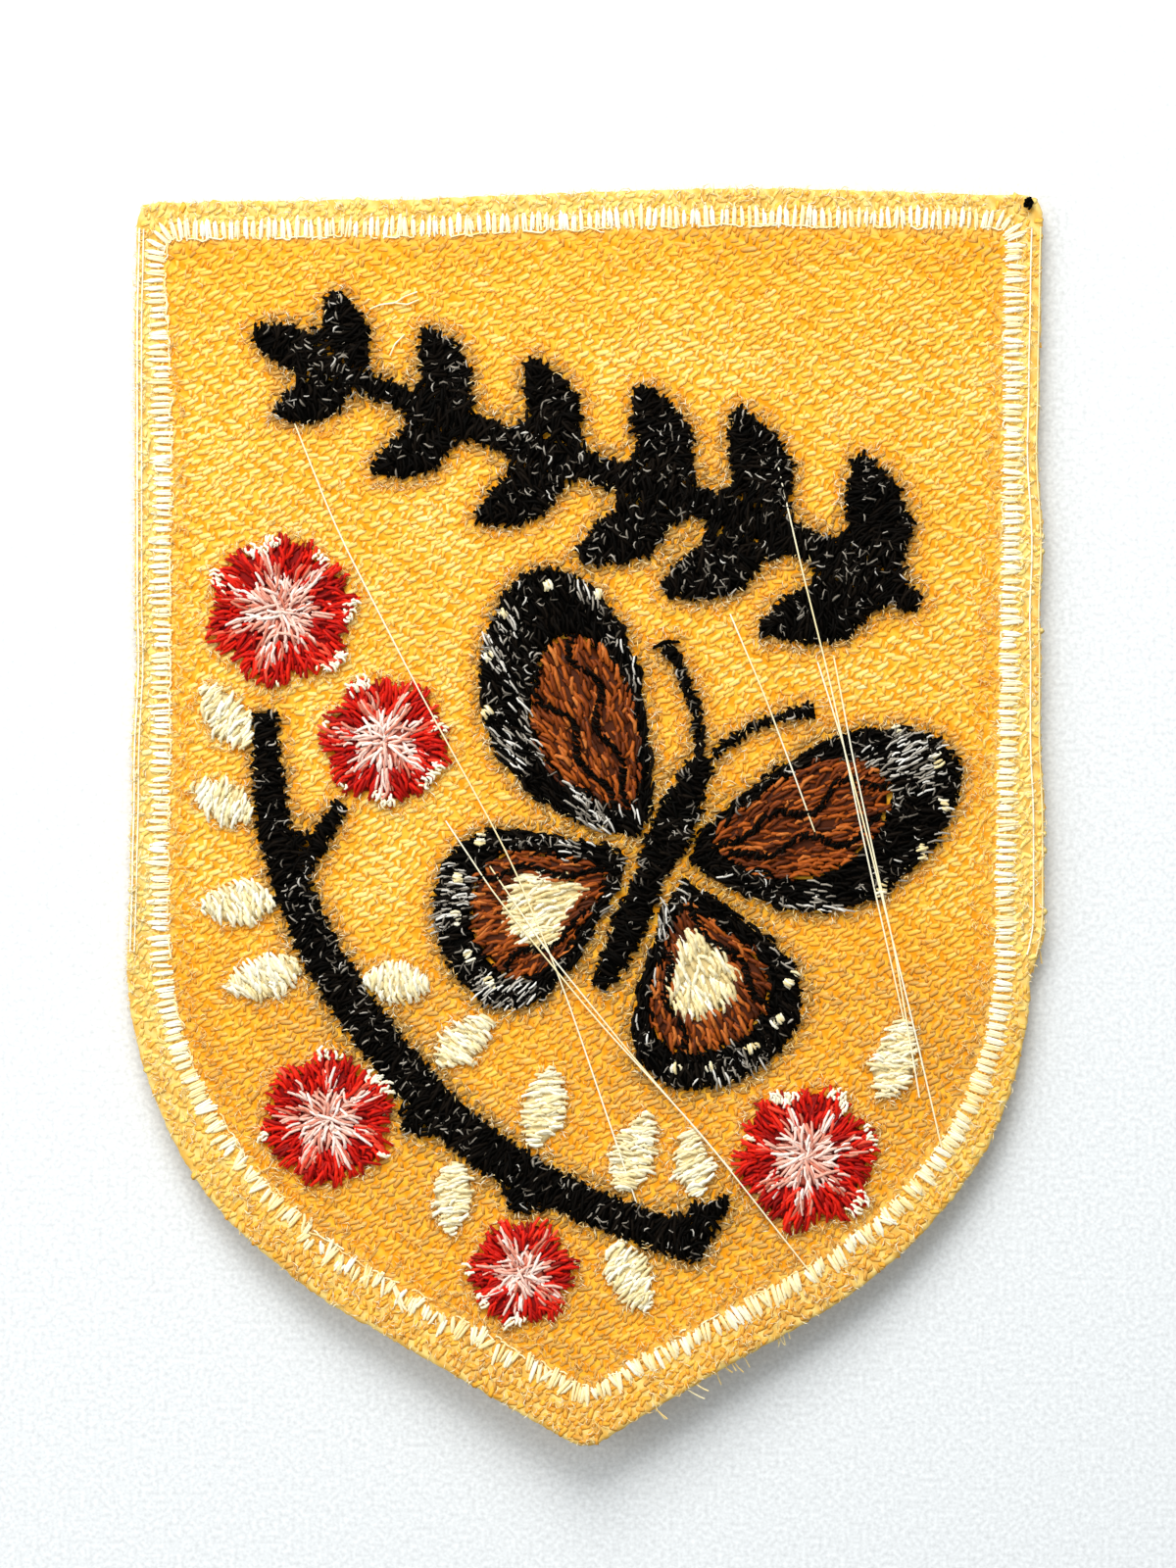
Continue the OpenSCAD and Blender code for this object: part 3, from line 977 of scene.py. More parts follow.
@dataclass(frozen=True)
class Finish:
    """What a piece's surface is like, and the name of a material slot, which this script doesn't
    use.
    """

    name: str
    slot: str
    roughness: float = 0.6
    specular: float = 0.3
    relief: float = 0.3

    def material(self) -> Material:
        """Build the material.

        Returns:
            The material.
        """
        material = bpy.data.materials.new(self.name)
        material.use_nodes = True
        nodes = material.node_tree.nodes
        for node in [node for node in nodes if node.type != "OUTPUT_MATERIAL"]:
            nodes.remove(node)
        self.dress(NodeSheet(material.node_tree))
        return material

    def dress(self, sheet: NodeSheet) -> None:
        """Add the nodes that give the surface its colour, as each kind of finish does."""
        raise NotImplementedError

    def end(self, sheet: NodeSheet, colour: Socket, height: Socket | None,
            distance: float = 0.00003) -> None:
        """Add the shader.

        Args:
            sheet: the material's nodes.
            colour: the base colour.
            height: the relief's height, or None for a smooth surface.
            distance: the relief's depth, in metres.
        """
        values = {"Base Color": colour, "Roughness": self.roughness,
                  "Specular IOR Level": self.specular}
        if height is not None:
            values["Normal"] = sheet.add("ShaderNodeBump", None, {
                "Strength": self.relief, "Distance": distance, "Height": height}, "Normal")
        shader = sheet.add("ShaderNodeBsdfPrincipled", None, values)
        output = next(n for n in sheet.tree.nodes if n.type == "OUTPUT_MATERIAL")
        sheet.tree.links.new(shader.socket, output.inputs["Surface"])

    @staticmethod
    def thread_map(sheet: NodeSheet) -> tuple[Socket, Socket, Socket, Socket]:
        """Read the threads' own map.

        Args:
            sheet: the material's nodes.

        Returns:
            Its u and v, the thread's tone, and the place across the thread from -1 to 1.
        """
        place = sheet.add("ShaderNodeUVMap", {"uv_map": BAKE_MAP})
        u, v = (sheet.add("ShaderNodeSeparateXYZ", None, {"Vector": place}, k) for k in (0, 1))
        tone = sheet.maths("FLOOR", u * STRIPS) * (1 / STRIPS) + 0.5 / STRIPS
        return u, v, tone, sheet.maths("FRACT", u * STRIPS) * 2 - 1


@dataclass(frozen=True)
class ThreadFinish(Finish):
    """Embroidery thread: a colour for each tone, with the twist of its plies."""

    stops: Stops = ()
    twist: float = 0.12
    turns: float = 7.0

    def dress(self, sheet: NodeSheet) -> None:
        """Colour the threads by tone, and twist them.

        Args:
            sheet: the material's nodes.
        """
        u, v, tone, across = self.thread_map(sheet)
        ply = sheet.maths("SINE", (v * self.turns + across * 0.4) * (2 * math.pi)) * 0.5 + 0.5
        streaks = sheet.noise(sheet.vector(u * 420, v * 26), 1.0, 1.0, noise_dimensions="2D")
        own = sheet.coloured(tone, self.stops)
        shade = (ply * self.twist + streaks * self.twist) * 2 + (1 - 1.6 * self.twist)
        self.end(sheet, sheet.shaded(own, shade), ply * 0.6 + streaks * 0.4)


@dataclass(frozen=True)
class FloatFinish(Finish):
    """Twill float, by tone: a painted highlight pales its crest, and painted shade deepens the
    colour of its flanks.
    """

    crest_highlight_stops: Stops = ()
    flank_shade_stops: Stops = ()

    def dress(self, sheet: NodeSheet) -> None:
        """Colour the floats by tone, with a painted highlight on their crests and painted shade on
        their flanks.

        Args:
            sheet: the material's nodes.
        """
        u, v, tone, across = self.thread_map(sheet)
        end = v * 2 - 1
        # crest is 1 in a float's middle and 0 at its rim and ends: it places the painted highlight
        crest = (1 - across * across) * (1 - end * end)
        place = sheet.vector(u * 260, v * 7 + u * 90)
        strands = sheet.noise(place, 1.0, 2.0, noise_dimensions="2D")
        share = sheet.add("ShaderNodeMapRange", None, {
            "Value": crest + strands * 0.8 - 0.4, "From Min": 0.25, "From Max": 1.0})
        colour = sheet.mix(share, sheet.coloured(tone, self.flank_shade_stops),
                           sheet.coloured(tone, self.crest_highlight_stops))
        self.end(sheet, colour, strands)


@dataclass(frozen=True)
class ClothFinish(Finish):
    """Body of the twill under its floats: fine cross yarns, and paler by the zone attribute."""

    deep: Colour = (0.0, 0.0, 0.0)
    pale: Colour = (1.0, 1.0, 1.0)
    faded_deep: Colour = (0.0, 0.0, 0.0)
    faded_pale: Colour = (1.0, 1.0, 1.0)

    def dress(self, sheet: NodeSheet) -> None:
        """Colour the cross yarns, and fade them in the margin.

        Args:
            sheet: the material's nodes.
        """
        place = sheet.add("ShaderNodeTexCoord", out="Object")
        warp = sheet.add("ShaderNodeTexWave", {"bands_direction": "DIAGONAL"}, {
            "Vector": place, "Scale": 420.0, "Distortion": 2.0, "Detail": 1.0,
            "Detail Scale": 3.0}, "Fac")
        grain = sheet.noise(place, 2600.0, 3.0)
        height = warp * 0.5 + grain * 0.5
        share = sheet.add("ShaderNodeMapRange", None, {
            "Value": height, "From Min": 0.3, "From Max": 0.75})
        zone = sheet.add("ShaderNodeAttribute", {"attribute_name": "zone"}, None, "Fac")
        low = sheet.mix(zone, self.deep, self.faded_deep)
        high = sheet.mix(zone, self.pale, self.faded_pale)
        self.end(sheet, sheet.mix(share, low, high), height, 0.00008)


@dataclass(frozen=True)
class FloorFinish(Finish):
    """Plain pale table with a trace of grain."""

    tint: Colour = (0.9, 0.9, 0.9)

    def dress(self, sheet: NodeSheet) -> None:
        """Colour the table."""
        grain = sheet.noise(sheet.add("ShaderNodeTexCoord", out="Object"), 3600.0, 1.0)
        self.end(sheet, sheet.shaded(self.tint, grain * 0.5 + 0.75), None)


# Crest colours are paler as a painted highlight, and flank colours deeper as painted shade
TWILL_FLOATS = FloatFinish(
    "yellow twill floats", "yellow_twill", roughness=0.85, specular=0.04,
    # The lowest stops serve the painted shade round dark thread
    crest_highlight_stops=ramp((0.0, 164, 138, 88), (0.14, 208, 170, 100), (0.3, 248, 210, 126),
                     (0.42, 252, 206, 92), (0.55, 254, 223, 118), (0.65, 252, 229, 150),
                     (0.8, 255, 241, 166), (1.0, 255, 249, 210)),
    flank_shade_stops=ramp((0.0, 118, 88, 42), (0.14, 176, 126, 50), (0.3, 230, 162, 60),
                     (0.42, 243, 168, 48), (0.55, 249, 186, 66), (0.65, 248, 195, 90),
                     (0.8, 254, 220, 116), (1.0, 255, 238, 168)))
TWILL_BODY = ClothFinish(
    "yellow twill body", "yellow_twill", roughness=0.9, specular=0.03, relief=0.4,
    deep=linear(240, 156, 26), pale=linear(252, 190, 60),
    faded_deep=linear(232, 182, 84), faded_pale=linear(248, 216, 128))
BLACK_THREAD = ThreadFinish(
    "black thread", "black_thread", specular=0.045, twist=0.2,
    stops=ramp((0.0, 1, 1, 0), (0.6, 7, 4, 2), (0.85, 24, 18, 12), (1.0, 58, 48, 38)))
RUST_THREAD = ThreadFinish(
    "rust thread", "rust_thread", roughness=0.55, specular=0.18,
    stops=ramp((0.0, 46, 16, 0), (0.45, 124, 54, 8), (0.75, 170, 84, 20), (1.0, 214, 134, 66)))
CREAM_THREAD = ThreadFinish(
    "cream thread", "cream_thread", specular=0.2,
    stops=ramp((0.0, 186, 158, 92), (0.5, 236, 218, 164), (1.0, 255, 251, 228)))
RED_THREAD = ThreadFinish(
    "red thread", "red_thread", roughness=0.55, specular=0.16,
    stops=ramp((0.0, 104, 2, 0), (0.4, 190, 16, 4), (0.75, 232, 36, 10), (1.0, 246, 112, 84)))
PINK_THREAD = ThreadFinish(
    "pink thread", "pink_thread", roughness=0.55, specular=0.2,
    stops=ramp((0.0, 176, 82, 62), (0.25, 212, 124, 98), (0.5, 234, 180, 160),
               (1.0, 255, 242, 232)))
BOBBIN_THREAD = ThreadFinish(
    "white bobbin thread", "white_bobbin", roughness=0.55, specular=0.2, twist=0.06,
    stops=ramp((0.0, 246, 206, 116), (0.5, 254, 237, 184), (1.0, 255, 252, 232)))
YELLOW_THREAD = ThreadFinish(
    "yellow thread", "yellow_thread", roughness=0.42,
    stops=ramp((0.0, 190, 126, 18), (0.5, 246, 186, 56), (1.0, 255, 220, 116)))
FLECK_THREAD = ThreadFinish(
    "loose bobbin thread", "white_bobbin", roughness=0.45, twist=0.06,
    stops=ramp((0.0, 70, 62, 50), (0.5, 168, 160, 146), (1.0, 248, 246, 238)))
FUZZ_FIBRE = ThreadFinish(
    "cotton fuzz", "yellow_twill", roughness=0.8, specular=0.1, twist=0.04,
    stops=ramp((0.0, 230, 172, 88), (0.5, 252, 226, 156), (1.0, 255, 250, 228)))


@dataclass
class Workshop:
    """What every sub-assembly needs: the patch's maps, the trees and the small shapes."""

    patch: Patch
    ring: "BorderRing"
    scatter: GeometryTree
    strands: GeometryTree
    stitches: ShapeBox
    fibres: ShapeBox
    curls: ShapeBox

    @classmethod
    def opened(cls) -> "Workshop":
        """Read the patch, and make the trees and the small shapes.

        Returns:
            The workshop.
        """
        patch = Patch()
        # Every shape is one unit long, and a stitch is about one unit wide and high too
        stitches = [[(-0.5, 0, 0.1), (-0.44, 0.3 * bend, 0.4), (0, bend, 0.56),
                     (0.44, 0.3 * bend, 0.4), (0.5, 0, 0.1)] for bend in (0.0, 0.5, -0.5, 0.9)]
        fibres = [[(-0.5, 0, 0), (0.02, bend, rise), (0.5, 0.35 * bend, 0.8 * rise)]
                  for bend, rise in ((0.22, 0.10), (-0.26, 0.22), (0.42, 0.06), (-0.08, 0.34),
                                     (0.05, 0.04))]
        curls = [[(-0.5, 0, 0.0), (-0.3, 0.7 * bend + twist, 0.10), (0, bend, 0.16),
                  (0.3, 0.7 * bend - twist, 0.10), (0.5, 0, 0.0)]
                 for bend, twist in ((0.06, 0.0), (0.26, 0.0), (-0.22, 0.1), (0.12, -0.26))]
        return cls(patch, BorderRing(patch, "border_bobbin_back"), scatter_tree(),
                   strand_tree(), bent_box("stitch", stitches, (0.4, 0.5, 0.4), 5, True),
                   bent_box("fibre", fibres, (0.065,)),
                   bent_box("curl", curls, (0.08, 0.095, 0.08)))

    def close(self) -> None:
        """Throw away what only the making needed."""
        for box in (self.stitches, self.fibres, self.curls):
            box.empty()
        for tree in (self.scatter, self.strands):
            bpy.data.node_groups.remove(tree.tree)


def settle(piece: Object, patch: Patch, finish: Finish, nodes: Sequence[str]) -> None:
    """Drape a finished mesh over the cloth, and hand it to the frame as a part of its one body.

    Args:
        piece: the piece.
        patch: the patch.
        finish: its finish; not used.
        nodes: the solids that it stands for.
    """
    patch.drape(piece.data)
    layers = piece.data.attributes
    for name in [layer.name for layer in layers if layer.name in MAKING]:
        layers.remove(layers[name])
    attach(piece, "root")
    if nodes:
        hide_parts(*nodes)
    log.info("%s: %d triangles", piece.name,
             sum(len(face.vertices) - 2 for face in piece.data.polygons))


class Bed:
    """Threads of one finish, collected as numbers before they become one piece."""

    def __init__(self, shop: Workshop, seed: int) -> None:
        """Start an empty bed.

        Args:
            shop: the workshop.
            seed: the seed of its own source of chance.
        """
        self.shop = shop
        self.rng = np.random.default_rng(seed)
        self.seed = seed
        self.laid: list[dict[str, Array]] = []

    def carrier(self, name: str, edges: Sequence[tuple[int, int]] = ()) -> Object:
        """Put the points of all that was laid in the scene, with their numbers.

        Args:
            name: the piece's name.
            edges: the lines between the points.

        Returns:
            The object that a tree turns into threads.
        """
        whole = {key: np.concatenate([part[key] for part in self.laid]) for key in self.laid[0]}
        return placed(mesh_object(name, whole.pop("place"), edges, numbers=whole))


class ThreadBed(Bed):
    """Short threads that Geometry Nodes set on points."""

    def strewn(self, mask: Array, density: float) -> Array:
        """Pick places in a mask of the patch by chance.

        Args:
            mask: where the places may lie.
            density: places on a square millimetre.

        Returns:
            The places.
        """
        grid = self.shop.patch.grid
        places = grid.places(mask)
        places = places[self.rng.random(len(places)) < density * grid.cell ** 2]
        return places + self.rng.uniform(-0.5, 0.5, places.shape) * grid.cell

    def lay(self, middles: Array, headings: Array, size: Sequence[Any], lift: Any,
            tone: Any, side: Side = Side.BACK, kinds: int = 4) -> None:
        """Lay threads.

        Args:
            middles: their middles, in millimetres.
            headings: their directions, in radians.
            size: length, width and height, each one number or one for each thread.
            lift: how far they lie off the cloth.
            tone: how light they are, from 0 to 1.
            side: the side of the cloth that they lie on.
            kinds: how many of the box's shapes there are to choose among.
        """
        count = len(middles)
        if not count:
            return
        length, width, height, lift, tone = (
            np.broadcast_to(np.asarray(v, float), count) for v in (*size, lift, tone))
        sign = side.value
        flip = np.full(count, 0.0 if side is Side.BACK else math.pi)
        self.laid.append({
            "place": np.column_stack([middles, sign * lift]) * MM,
            "turn": np.column_stack([flip, np.zeros(count), headings]),
            "size": np.column_stack([length, width, height]) * MM,
            "tone": np.clip(tone, 0, 1), "run": np.clip(length / MAP_RUN, 0.05, 1),
            "side": np.full(count, float(sign)),
            "kind": self.rng.choice(kinds, count).astype(np.int32)})

    def grow(self, name: str, finish: Finish, nodes: Sequence[str] = (),
             box: ShapeBox | None = None, underlay: Object | None = None,
             wander: float = 0.0, unevenness: float = 0.0) -> None:
        """Make the piece, a plain mesh that lies on the cloth.

        Args:
            name: its name.
            finish: its finish.
            nodes: the solids that it stands for.
            box: the shapes that its threads are made of, unless they are stitches.
            underlay: a mesh that joins it.
            wander: how far each thread turns by chance, in radians.
            unevenness: how much the threads differ in size, as a share.
        """
        piece = self.carrier(name)
        self.shop.scatter.run(
            piece, Shapes=(box or self.shop.stitches).collection, Underlay=underlay,
            Finish=finish.material(), Wander=wander, Unevenness=unevenness, Seed=self.seed)
        settle(piece, self.shop.patch, finish, nodes)


class StrandBed(Bed):
    """Long threads that follow lines."""

    def draw(self, line: Array, radius: Any, tone: Any, side: Side = Side.BACK) -> None:
        """Draw one thread.

        Args:
            line: its points: x, y and the height off the cloth, in millimetres.
            radius: its half thickness.
            tone: how light it is, from 0 to 1.
            side: the side of the cloth that it lies on.
        """
        line = np.asarray(line, float) * (1, 1, side.value)
        count = len(line)
        run = np.concatenate([[0], np.cumsum(np.linalg.norm(np.diff(line, axis=0), axis=1))])
        sway = (run / MAP_RUN) % 2
        radius, tone = (np.broadcast_to(np.asarray(v, float), count) for v in (radius, tone))
        self.laid.append({"place": line * MM, "radius": radius * MM, "tone": tone,
                          "along": np.minimum(sway, 2 - sway),
                          "side": np.full(count, float(side.value))})

    def grow(self, name: str, finish: Finish, nodes: Sequence[str] = ()) -> None:
        """Make the piece, a plain mesh that lies on the cloth.

        Args:
            name: its name.
            finish: its finish.
            nodes: the solids that it stands for.
        """
        starts = set(np.cumsum([len(part["place"]) for part in self.laid]).tolist())
        piece = self.carrier(name, [(k - 1, k) for k in range(1, max(starts)) if k not in starts])
        self.shop.strands.run(piece, Finish=finish.material())
        settle(piece, self.shop.patch, finish, nodes)


@dataclass
class TwillCloth:
    """The yellow twill: its body with the raw cut edge, and the floats of its weave."""

    shop: Workshop
    # One step along a wale, and one step to the next wale
    wale: Pair = (0.443, -0.248)
    course: Pair = (0.880, 0.496)
    float_length: float = 0.98
    float_width: float = 0.46
    float_height: float = 0.085
    float_tilt: float = math.radians(19)
    sunk: float = 0.07
    # The lattice's steps to either side, and half the size of the field that it has to fill
    steps: tuple[int, int] = (110, 70)
    field_half: Pair = (30.0, 41.0)
    # The line along the right edge that has no floats: what it lies east and north of, and
    # its distance from the edge and half width
    bare_line: tuple[float, float, float, float] = (25.0, -8.0, 0.68, 0.12)
    # The satin hides the face's weave this far to either side of the border's middle
    satin_cover: float = 0.9
    # Where the faded margin and the pressed band start and end, outside the border's middle
    margin_ease: Pair = (-0.9, 0.0)
    pressed_ease: Pair = (-2.2, -1.6)
    # Cells that the painted shade round dark thread spreads over, and how strong it is
    painted_shade_blur: int = 9
    painted_shade_strength: float = 3.6
    spokes: int = 900
    rings: int = 20

    def build(self) -> None:
        """Make the cloth's pieces."""
        self.body()
        self.floats(Side.BACK, "twill_floats_back", 8)
        self.crossings()
        self.floats(Side.FACE, "twill_floats_face", 5)

    def zones(self, places: Array) -> tuple[Array, Array, Array]:
        """Weigh what the border and the dark thread do to the cloth at places.

        Args:
            places: where.

        Returns:
            How much each is in the faded margin, in the band that the border presses, and in
            the painted shade round dark thread.
        """
        beyond = self.shop.ring.beyond(places)
        margin = ease(beyond, *self.margin_ease)
        pressed = ease(beyond, *self.pressed_ease) * (1 - margin)
        dark = blurred(self.shop.patch.dark.astype(float), self.painted_shade_blur)
        shade = self.painted_shade_strength * self.shop.patch.grid.read(dark, places)
        return margin, pressed, np.clip(shade, 0, 1)

    def body(self) -> None:
        """Make the cloth's body: two surfaces that meet in the cut edge."""
        patch = self.shop.patch
        rng = np.random.default_rng(11)
        edge = patch.loop(patch.cloth, self.spokes, 1)[1]
        edge *= 1 + rng.normal(0, 0.0008, (self.spokes, 1))
        shares = 1 - (1 - np.arange(1, self.rings + 1) / self.rings) ** 1.6
        flat = np.vstack([[(0, 0)]] + [edge * share for share in shares])
        count = len(flat)
        points = np.vstack([np.column_stack([flat, np.full(count, -self.sunk)]),
                            np.column_stack([flat, np.full(count, 0.8 * self.sunk)])])
        faces = []
        for k in range(self.spokes):
            a, b = 1 + k, 1 + (k + 1) % self.spokes
            faces += [(0, a, b), (count, count + b, count + a)]
            for r in range(self.rings - 1):
                quad = (a + r * self.spokes, a + (r + 1) * self.spokes,
                        b + (r + 1) * self.spokes, b + r * self.spokes)
                faces += [quad, tuple(count + q for q in reversed(quad))]
            rim = (self.rings - 1) * self.spokes
            faces.append((a + rim, count + a + rim, count + b + rim, b + rim))
        body = placed(mesh_object("cloth_body", points * MM, faces=faces, numbers={
            "side": np.repeat([1.0, -1.0], count), "zone": np.tile(self.zones(flat)[0], 2)}))
        body.data.shade_smooth()
        body.data.materials.append(TWILL_BODY.material())
        settle(body, patch, TWILL_BODY, ["ground_cloth"])

    def floats(self, side: Side, name: str, sides: int) -> None:
        """Lay the weave's floats on one side.

        Args:
            side: the side of the cloth.
            name: the piece's name.
            sides: corners of a float's outline.
        """
        bed = ThreadBed(self.shop, 21 + side.value)
        rng = bed.rng
        places = self.lattice((0.0, 0.0), 0.06, rng)
        if side is Side.FACE:
            places = places[np.abs(self.shop.ring.beyond(places)) > self.satin_cover]
        count = len(places)
        margin, pressed, _ = self.zones(places)
        length = (self.float_length * rng.uniform(0.72, 1.12, count)
                  * (1 - 0.1 * pressed - 0.25 * margin))
        heading = self.float_tilt + rng.normal(0, 0.14 + 0.3 * margin + 0.1 * pressed, count)
        height = self.float_height * (1 - 0.55 * margin) * rng.uniform(0.9, 1.5, count)
        bed.lay(places, heading, (length, self.float_width, height),
                -self.sunk - 0.02 * pressed,
                self.tones(places, rng) if side is Side.BACK else 0.5, side, 3)
        box = float_box(sides)
        bed.grow(name, TWILL_FLOATS, box=box, wander=0.05, unevenness=0.12)
        box.empty()

    def crossings(self) -> None:
        """Lay the short cross yarns that show between the back's floats."""
        bed = ThreadBed(self.shop, 24)
        places = self.lattice((0.66, 0.12), 0.08, bed.rng)
        count = len(places)
        heading = self.float_tilt + bed.rng.normal(0.8, 0.35, count)
        bed.lay(places, heading, (bed.rng.uniform(0.42, 0.75, count), 0.36, 0.16), -self.sunk,
                self.tones(places, bed.rng) - 0.03, kinds=3)
        box = float_box(4)
        bed.grow("twill_crossings_back", TWILL_FLOATS, box=box, unevenness=0.1)
        box.empty()

    def lattice(self, start: Pair, sway: float, rng: np.random.Generator) -> Array:
        """Spread the weave's places over the cloth where no stitches hide it.

        Args:
            start: where the lattice starts.
            sway: how far places stray from it.
            rng: the source of chance.

        Returns:
            The places.
        """
        patch = self.shop.patch
        i, j = np.meshgrid(*(np.arange(-count, count + 1) for count in self.steps))
        places = i[..., None] * np.array(self.wale) + j[..., None] * np.array(self.course)
        places = places.reshape(-1, 2) + start
        places = places + self.warp(places) + rng.normal(0, sway, places.shape)
        places = places[(np.abs(places) < self.field_half).all(1)]
        cells = patch.grid.cells(places)
        hidden = grown(grown(patch.stitched, 3), -7)
        west, south, inset, half = self.bare_line
        bare = ((places[:, 0] > west) & (places[:, 1] > south)
                & (np.abs(patch.inset[cells] - inset) < half))
        return places[grown(patch.cloth, -2)[cells] & ~hidden[cells] & ~bare]

    def tones(self, places: Array, rng: np.random.Generator) -> Array:
        """Say how light the back's yarns are.

        Args:
            places: where.
            rng: the source of chance.

        Returns:
            Their tones, from 0 to 1.
        """
        margin, pressed, shade = self.zones(places)
        x, y = places.T
        # low darkens the cloth's lower part as painted shade, where the light falls off towards
        # the bottom; the margin takes part of it back
        high, low = ease(y, 28, 34), ease(y, -4, -12)
        tip, left = ease(y, -21, -27), ease(x, -14, -19)
        tone = (0.66 + rng.normal(0, 0.07, len(places))
                # The cloud term paints soft light and shade of the cloth's wrinkles
                + (0.07 + 0.05 * low) * self.cloud(places)
                - 0.125 * high - 0.34 * low - 0.04 * ease(x, 2, 18)
                - 0.12 * ease(y, 33.5, 36) * (1 - margin)
                + (0.19 + (0.13 + 0.06 * left) * low - 0.25 * tip) * margin - 0.05 * pressed)
        # Near dark thread the tone falls towards 0.1: painted shade round the dark stitches
        return np.maximum(tone, 0.25) * (1 - 0.9 * shade) + 0.1 * shade

    @staticmethod
    def warp(places: Array) -> Array:
        """Bend the lattice a little, as a worn weave.

        Args:
            places: where.

        Returns:
            How far each place moves.
        """
        x, y = places.T
        return np.column_stack([
            0.20 * np.sin(0.31 * y + 0.9) + 0.10 * np.sin(0.83 * x - 0.42 * y),
            0.18 * np.sin(0.27 * x + 2.0) + 0.10 * np.sin(0.71 * y + 0.55 * x + 1.0)])

    @staticmethod
    def cloud(places: Array) -> Array:
        """Give the cloth's soft lighter and darker areas: painted light and shade of its soft
        wrinkles.

        Args:
            places: where.

        Returns:
            How light each place is, from -1 to 1.
        """
        x, y = places.T
        return (0.4 * np.sin(0.35 * x + 0.21 * y) + 0.35 * np.sin(0.52 * y - 0.3 * x + 1.3)
                + 0.25 * np.sin(1.4 * x + 0.9 * y))


class BorderRing:
    """The line that the border follows round the patch."""

    def __init__(self, patch: Patch, node: str) -> None:
        """Read the ring from its solid.

        Args:
            patch: the patch.
            node: the solid's name.
        """
        inner, outer = patch.loop(np.isfinite(patch.grid.stamp(corners_of(node))[0]))
        self.middle = (inner + outer) / 2
        angles = np.arctan2(self.middle[:, 1], self.middle[:, 0])
        order = np.argsort(angles)
        self.angles = angles[order]
        self.radii = np.linalg.norm(self.middle[order], axis=1)

    def beyond(self, places: Array) -> Array:
        """Tell about how far places lie outside the ring's middle, in millimetres."""
        angles = np.arctan2(places[..., 1], places[..., 0])
        return np.linalg.norm(places, axis=-1) - np.interp(angles, self.angles, self.radii,
                                                           period=2 * math.pi)


